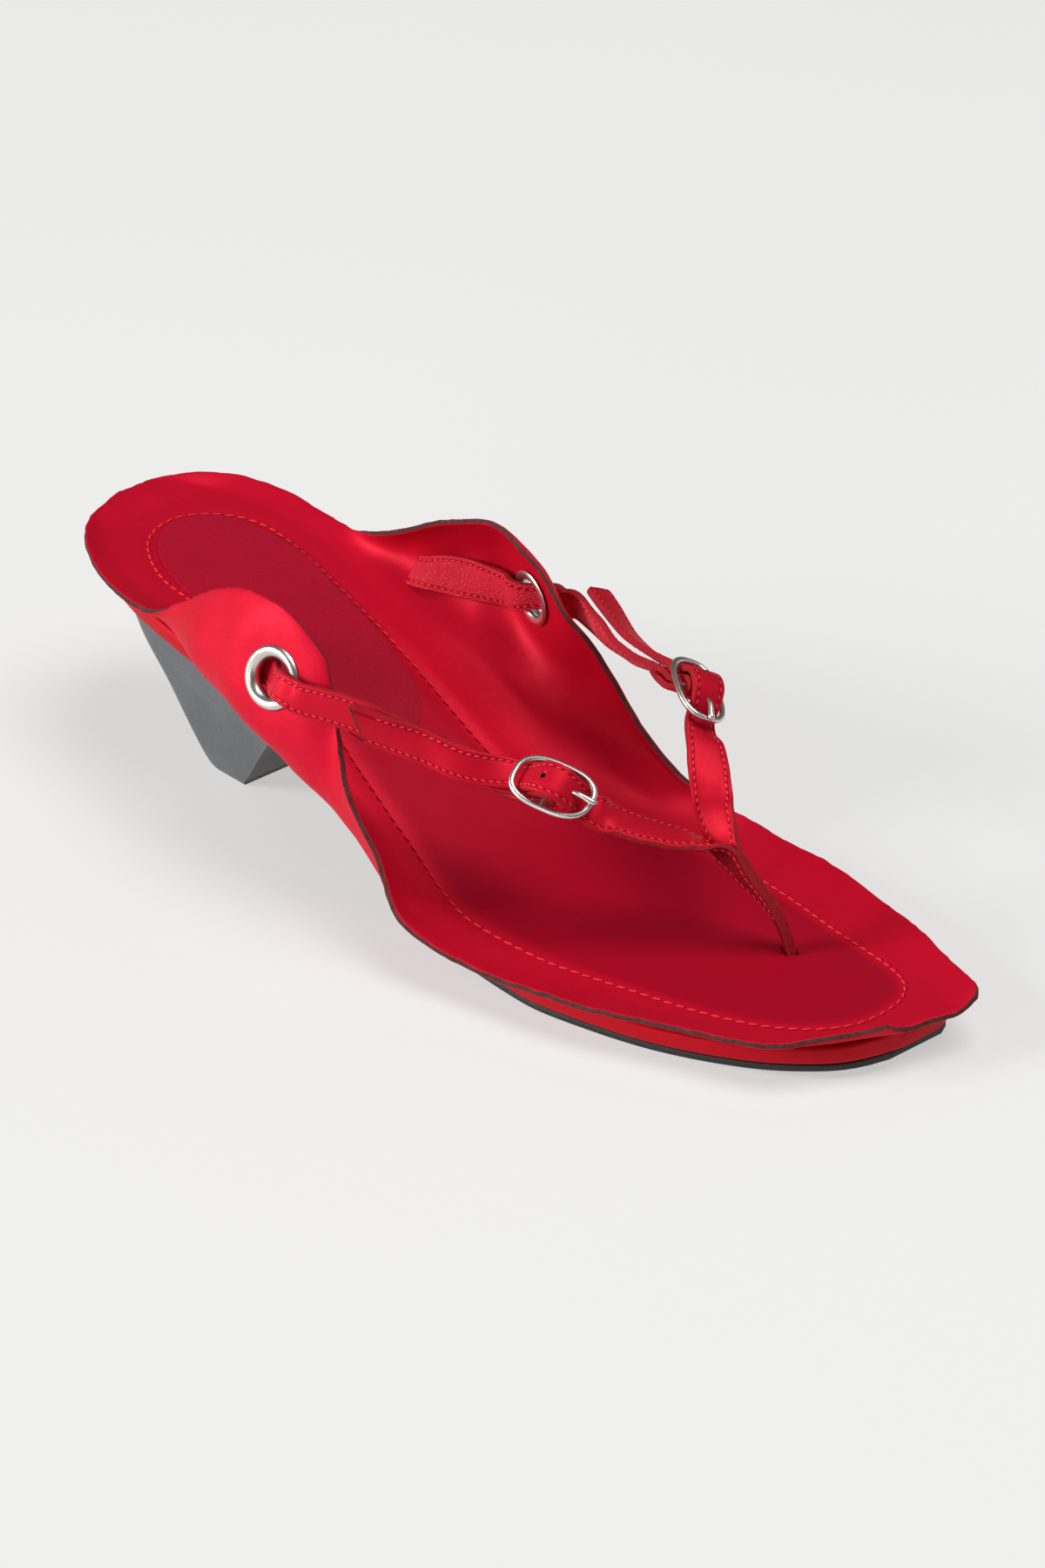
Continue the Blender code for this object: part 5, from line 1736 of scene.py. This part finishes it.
@dataclass
class Sole:
    """The wrapped insole, the outsole and the heel block."""
    wardrobe: Wardrobe
    step: float = 1.6
    crowding: float = 0.2       # how much closer the sections are at a layer's two ends
    levels: int = 40
    around: int = 72
    roundness: float = 3.2      # of the heel's back, where 2 is an ellipse

    def layer(self, name: str, slot: Slot, dress: str, start: float,
              depths: tuple[float, float], inset: float, corner: float, node: str) -> None:
        """Build one layer of the sole.

        Args:
            name: Name of the piece.
            slot: Its material slot, which is not used.
            dress: Name of its finish.
            start: Distance along the shoe at which it begins.
            depths: Its top and bottom below the footbed's top.
            inset: How far its side lies in from the insole's.
            corner: Radius of its long edges.
            node: The CAD node that it stands for.
        """
        inner, outer = Curve(INSOLE, "inner"), Curve(INSOLE, "outer")
        end = INSOLE[-1].y - inset
        count = round((end - start) / self.step)
        turns = [(quarter, math.radians(90 * quarter + angle))
                 for quarter in range(4) for angle in (0, 30, 60, 90)]
        rings = []
        for i in range(count + 1):
            share = i / count
            crowded = share - self.crowding * math.sin(math.tau * share) / math.tau
            y = start + (end - start) * crowded
            left, right = inner(y) + inset + corner, outer(y) - inset - corner
            top, bottom = layer_height(y, depths[0]) - corner, layer_height(y, depths[1]) + corner
            centres = [Vector(place) for place in ((right, y, top), (left, y, top),
                                                   (left, y, bottom), (right, y, bottom))]
            rings.append([centres[quarter] + Vector((math.cos(turn), 0, math.sin(turn))) * corner
                          for quarter, turn in turns])
        work = bmesh.new()
        MeshTool.sweep(work, rings)
        register(MeshTool.finish(name, work, self.wardrobe.pick(dress), 55), slot.value, node)

    def heel_ring(self, level: float, under: float) -> Ring:
        """Outline of the heel block at one level: straight in front, rounded behind."""
        inner, outer, back, front, roundness = (Curve(HEEL, column)(level)
                                                for column in HeelLevel._fields[1:])
        centre, half, corner = (inner + outer) / 2, (outer - inner) / 2, back + roundness
        plan = [(inner + (outer - inner) * i / 12, front) for i in range(13)]
        plan += [(outer, front + (corner - front) * i / 8) for i in range(1, 8)]
        swell = 2 / self.roundness
        for i in range(self.around // 2 + 1):
            angle = math.pi * i / (self.around // 2)
            x = centre + half * math.copysign(abs(math.cos(angle)) ** swell, math.cos(angle))
            plan.append((x, corner - roundness * math.sin(angle) ** swell))
        plan += [(inner, corner + (front - corner) * i / 8) for i in range(1, 8)]
        return [Vector((x, y, level * layer_height(y, under))) for x, y in plan]

    def heel(self, under: float) -> None:
        """Build the heel block, with painted shade on its breast and rubber underneath."""
        work = bmesh.new()
        levels = [0.0, 0.012] + [0.03 + 0.97 * i / self.levels for i in range(self.levels + 1)]
        MeshTool.sweep(work, [self.heel_ring(level, under) for level in levels])
        names = ("heel", "heel_front_painted_shade", "rubber")
        for face in work.faces:
            face.normal_update()
            # Faces turned down get rubber, and faces turned to the toe get the darker copy: painted
            # shade on the breast.
            if face.normal.z < -0.9:
                face.material_index = names.index("rubber")
            elif face.normal.y > 0.55:
                face.material_index = names.index("heel_front_painted_shade")
        heel = MeshTool.finish("heel", work, self.wardrobe.pick(*names), 35)
        MeshTool.soften(heel, 0.35, 3, 40)
        register(heel, Slot.HEEL.value, "heel_block")

    def make(self) -> None:
        """Build the three parts."""
        insole_top = SHEET_THICKNESS + GAP
        insole_bottom = insole_top + INSOLE_THICKNESS
        outsole_top = insole_bottom + GAP
        self.layer("wrapped_insole", Slot.WRAP, "wrap", INSOLE[0].y,
                   (insole_top, insole_bottom), 0.0, 1.1, "insole")
        self.layer("rubber_outsole", Slot.SOLE, "rubber", OUTSOLE_BACK,
                   (outsole_top, outsole_top + OUTSOLE_THICKNESS), OUTSOLE_INSET, 0.45,
                   "outsole")
        self.heel(outsole_top)


# ---- studio

@dataclass(frozen=True)
class SoftBox:
    """A square area light that points at the sandal."""
    name: str
    place: Triple
    size: float
    power: float


@dataclass
class Studio:
    """Pale floor, soft lights and the camera."""
    camera_place: Vector = Vector((0.7862, 1.0041, 0.7170))
    aim: Vector = Vector((-0.007, 0.085, 0.024))
    roll: float = -0.967
    lens: float = 140.76
    sensor: float = 36.0
    nearest: float = 0.05
    boxes: tuple[SoftBox, ...] = (
        SoftBox("key", (2.05, -1.20, 0.98), 1.0, 64.0),
        SoftBox("side", (2.0, 0.60, 0.50), 0.8, 6.0),
        SoftBox("overhead", (-0.4, 0.65, 2.2), 1.4, 40.0),
        SoftBox("fill", (-1.3, 1.5, 1.2), 1.5, 3.0),
    )
    surroundings: Colour = (0.93, 0.94, 0.96, 1.0)
    surroundings_strength: float = 0.10
    floor_tones: tuple[Colour, Colour] = ((0.29, 0.29, 0.287, 1.0), (0.31, 0.31, 0.307, 1.0))
    floor_glow: Colour = (1.0, 0.998, 0.99, 1.0)
    floor_glow_strength: float = 0.52
    floor_size: float = 6000.0
    floor_drop: float = 0.02

    def towards_aim(self, place: Vector, roll: float = 0.0) -> Matrix:
        """Transform of something at a place that looks at the sandal, turned about its view."""
        back = (place - self.aim).normalized()
        right = Vector((-back.y, back.x, 0.0)).normalized()
        basis = Matrix((right, back.cross(right), back)).transposed().to_4x4()
        return Matrix.Translation(place) @ basis @ Matrix.Rotation(math.radians(roll), 4, "Z")

    def hang(self, name: str, data: bpy.types.ID, transform: Matrix) -> Object:
        """Put a light or a camera in the scene."""
        made = bpy.data.objects.new(name, data)
        made.matrix_world = transform
        bpy.context.scene.collection.objects.link(made)
        return made

    def floor(self) -> None:
        """Lay the floor, which gives off some light of its own."""
        paint = Paint("floor_paint", {"Roughness": 0.6, "Specular IOR Level": 0.25,
                                      "Emission Color": self.floor_glow,
                                      "Emission Strength": self.floor_glow_strength})
        tone = paint.tree.noise(paint.coordinates["Object"], 3.0, 2.0)
        finish = paint.feed(Base_Color=paint.tree.blend(tone, *self.floor_tones))
        work = bmesh.new()
        bmesh.ops.create_grid(work, x_segments=8, y_segments=8, size=self.floor_size)
        bmesh.ops.translate(work, vec=(0, 0, -self.floor_drop), verts=work.verts)
        MeshTool.finish("floor", work, [finish])

    def camera(self) -> None:
        """Set up the camera at its place, turned to the sandal."""
        data = bpy.data.cameras.new("camera")
        data.sensor_width = self.sensor
        data.lens = self.lens
        data.clip_start = self.nearest
        made = self.hang("camera", data, self.towards_aim(self.camera_place, self.roll))
        bpy.context.scene.camera = made

    def lights(self) -> None:
        """Hang the soft boxes and set the plain surroundings."""
        for box in self.boxes:
            data = bpy.data.lights.new(box.name, "AREA")
            data.shape = "SQUARE"
            data.size = box.size
            data.energy = box.power
            self.hang(box.name, data, self.towards_aim(Vector(box.place)))
        world = bpy.data.worlds.new("studio")
        world.use_nodes = True
        background = world.node_tree.nodes["Background"].inputs
        background["Color"].default_value = self.surroundings
        background["Strength"].default_value = self.surroundings_strength
        bpy.context.scene.world = world
        bpy.context.scene.view_settings.view_transform = "Standard"

    def make(self) -> None:
        """Build the studio."""
        self.camera()
        self.lights()
        self.floor()


def main() -> None:
    """Build the studio and dress the sandal."""
    logging.basicConfig(level=logging.INFO, format="%(name)s %(message)s")
    noise.seed_set(NOISE_SEED)
    Studio().make()
    wardrobe = Wardrobe()
    Sole(wardrobe).make()
    Upper(wardrobe).make()
    for fastening, place in zip(FASTENINGS, EYELET_FRAMES):
        Strap("side_strap_" + fastening.name, sampled_route(side_strap_route(fastening)),
              fastening.wing.sign, wardrobe).make("strap_" + fastening.name)
        Eyelet("eyelet_" + fastening.name, place, wardrobe).make()
        Buckle(fastening, wardrobe).make()
    Yoke(wardrobe).make()


if __name__ == "__main__":
    main()
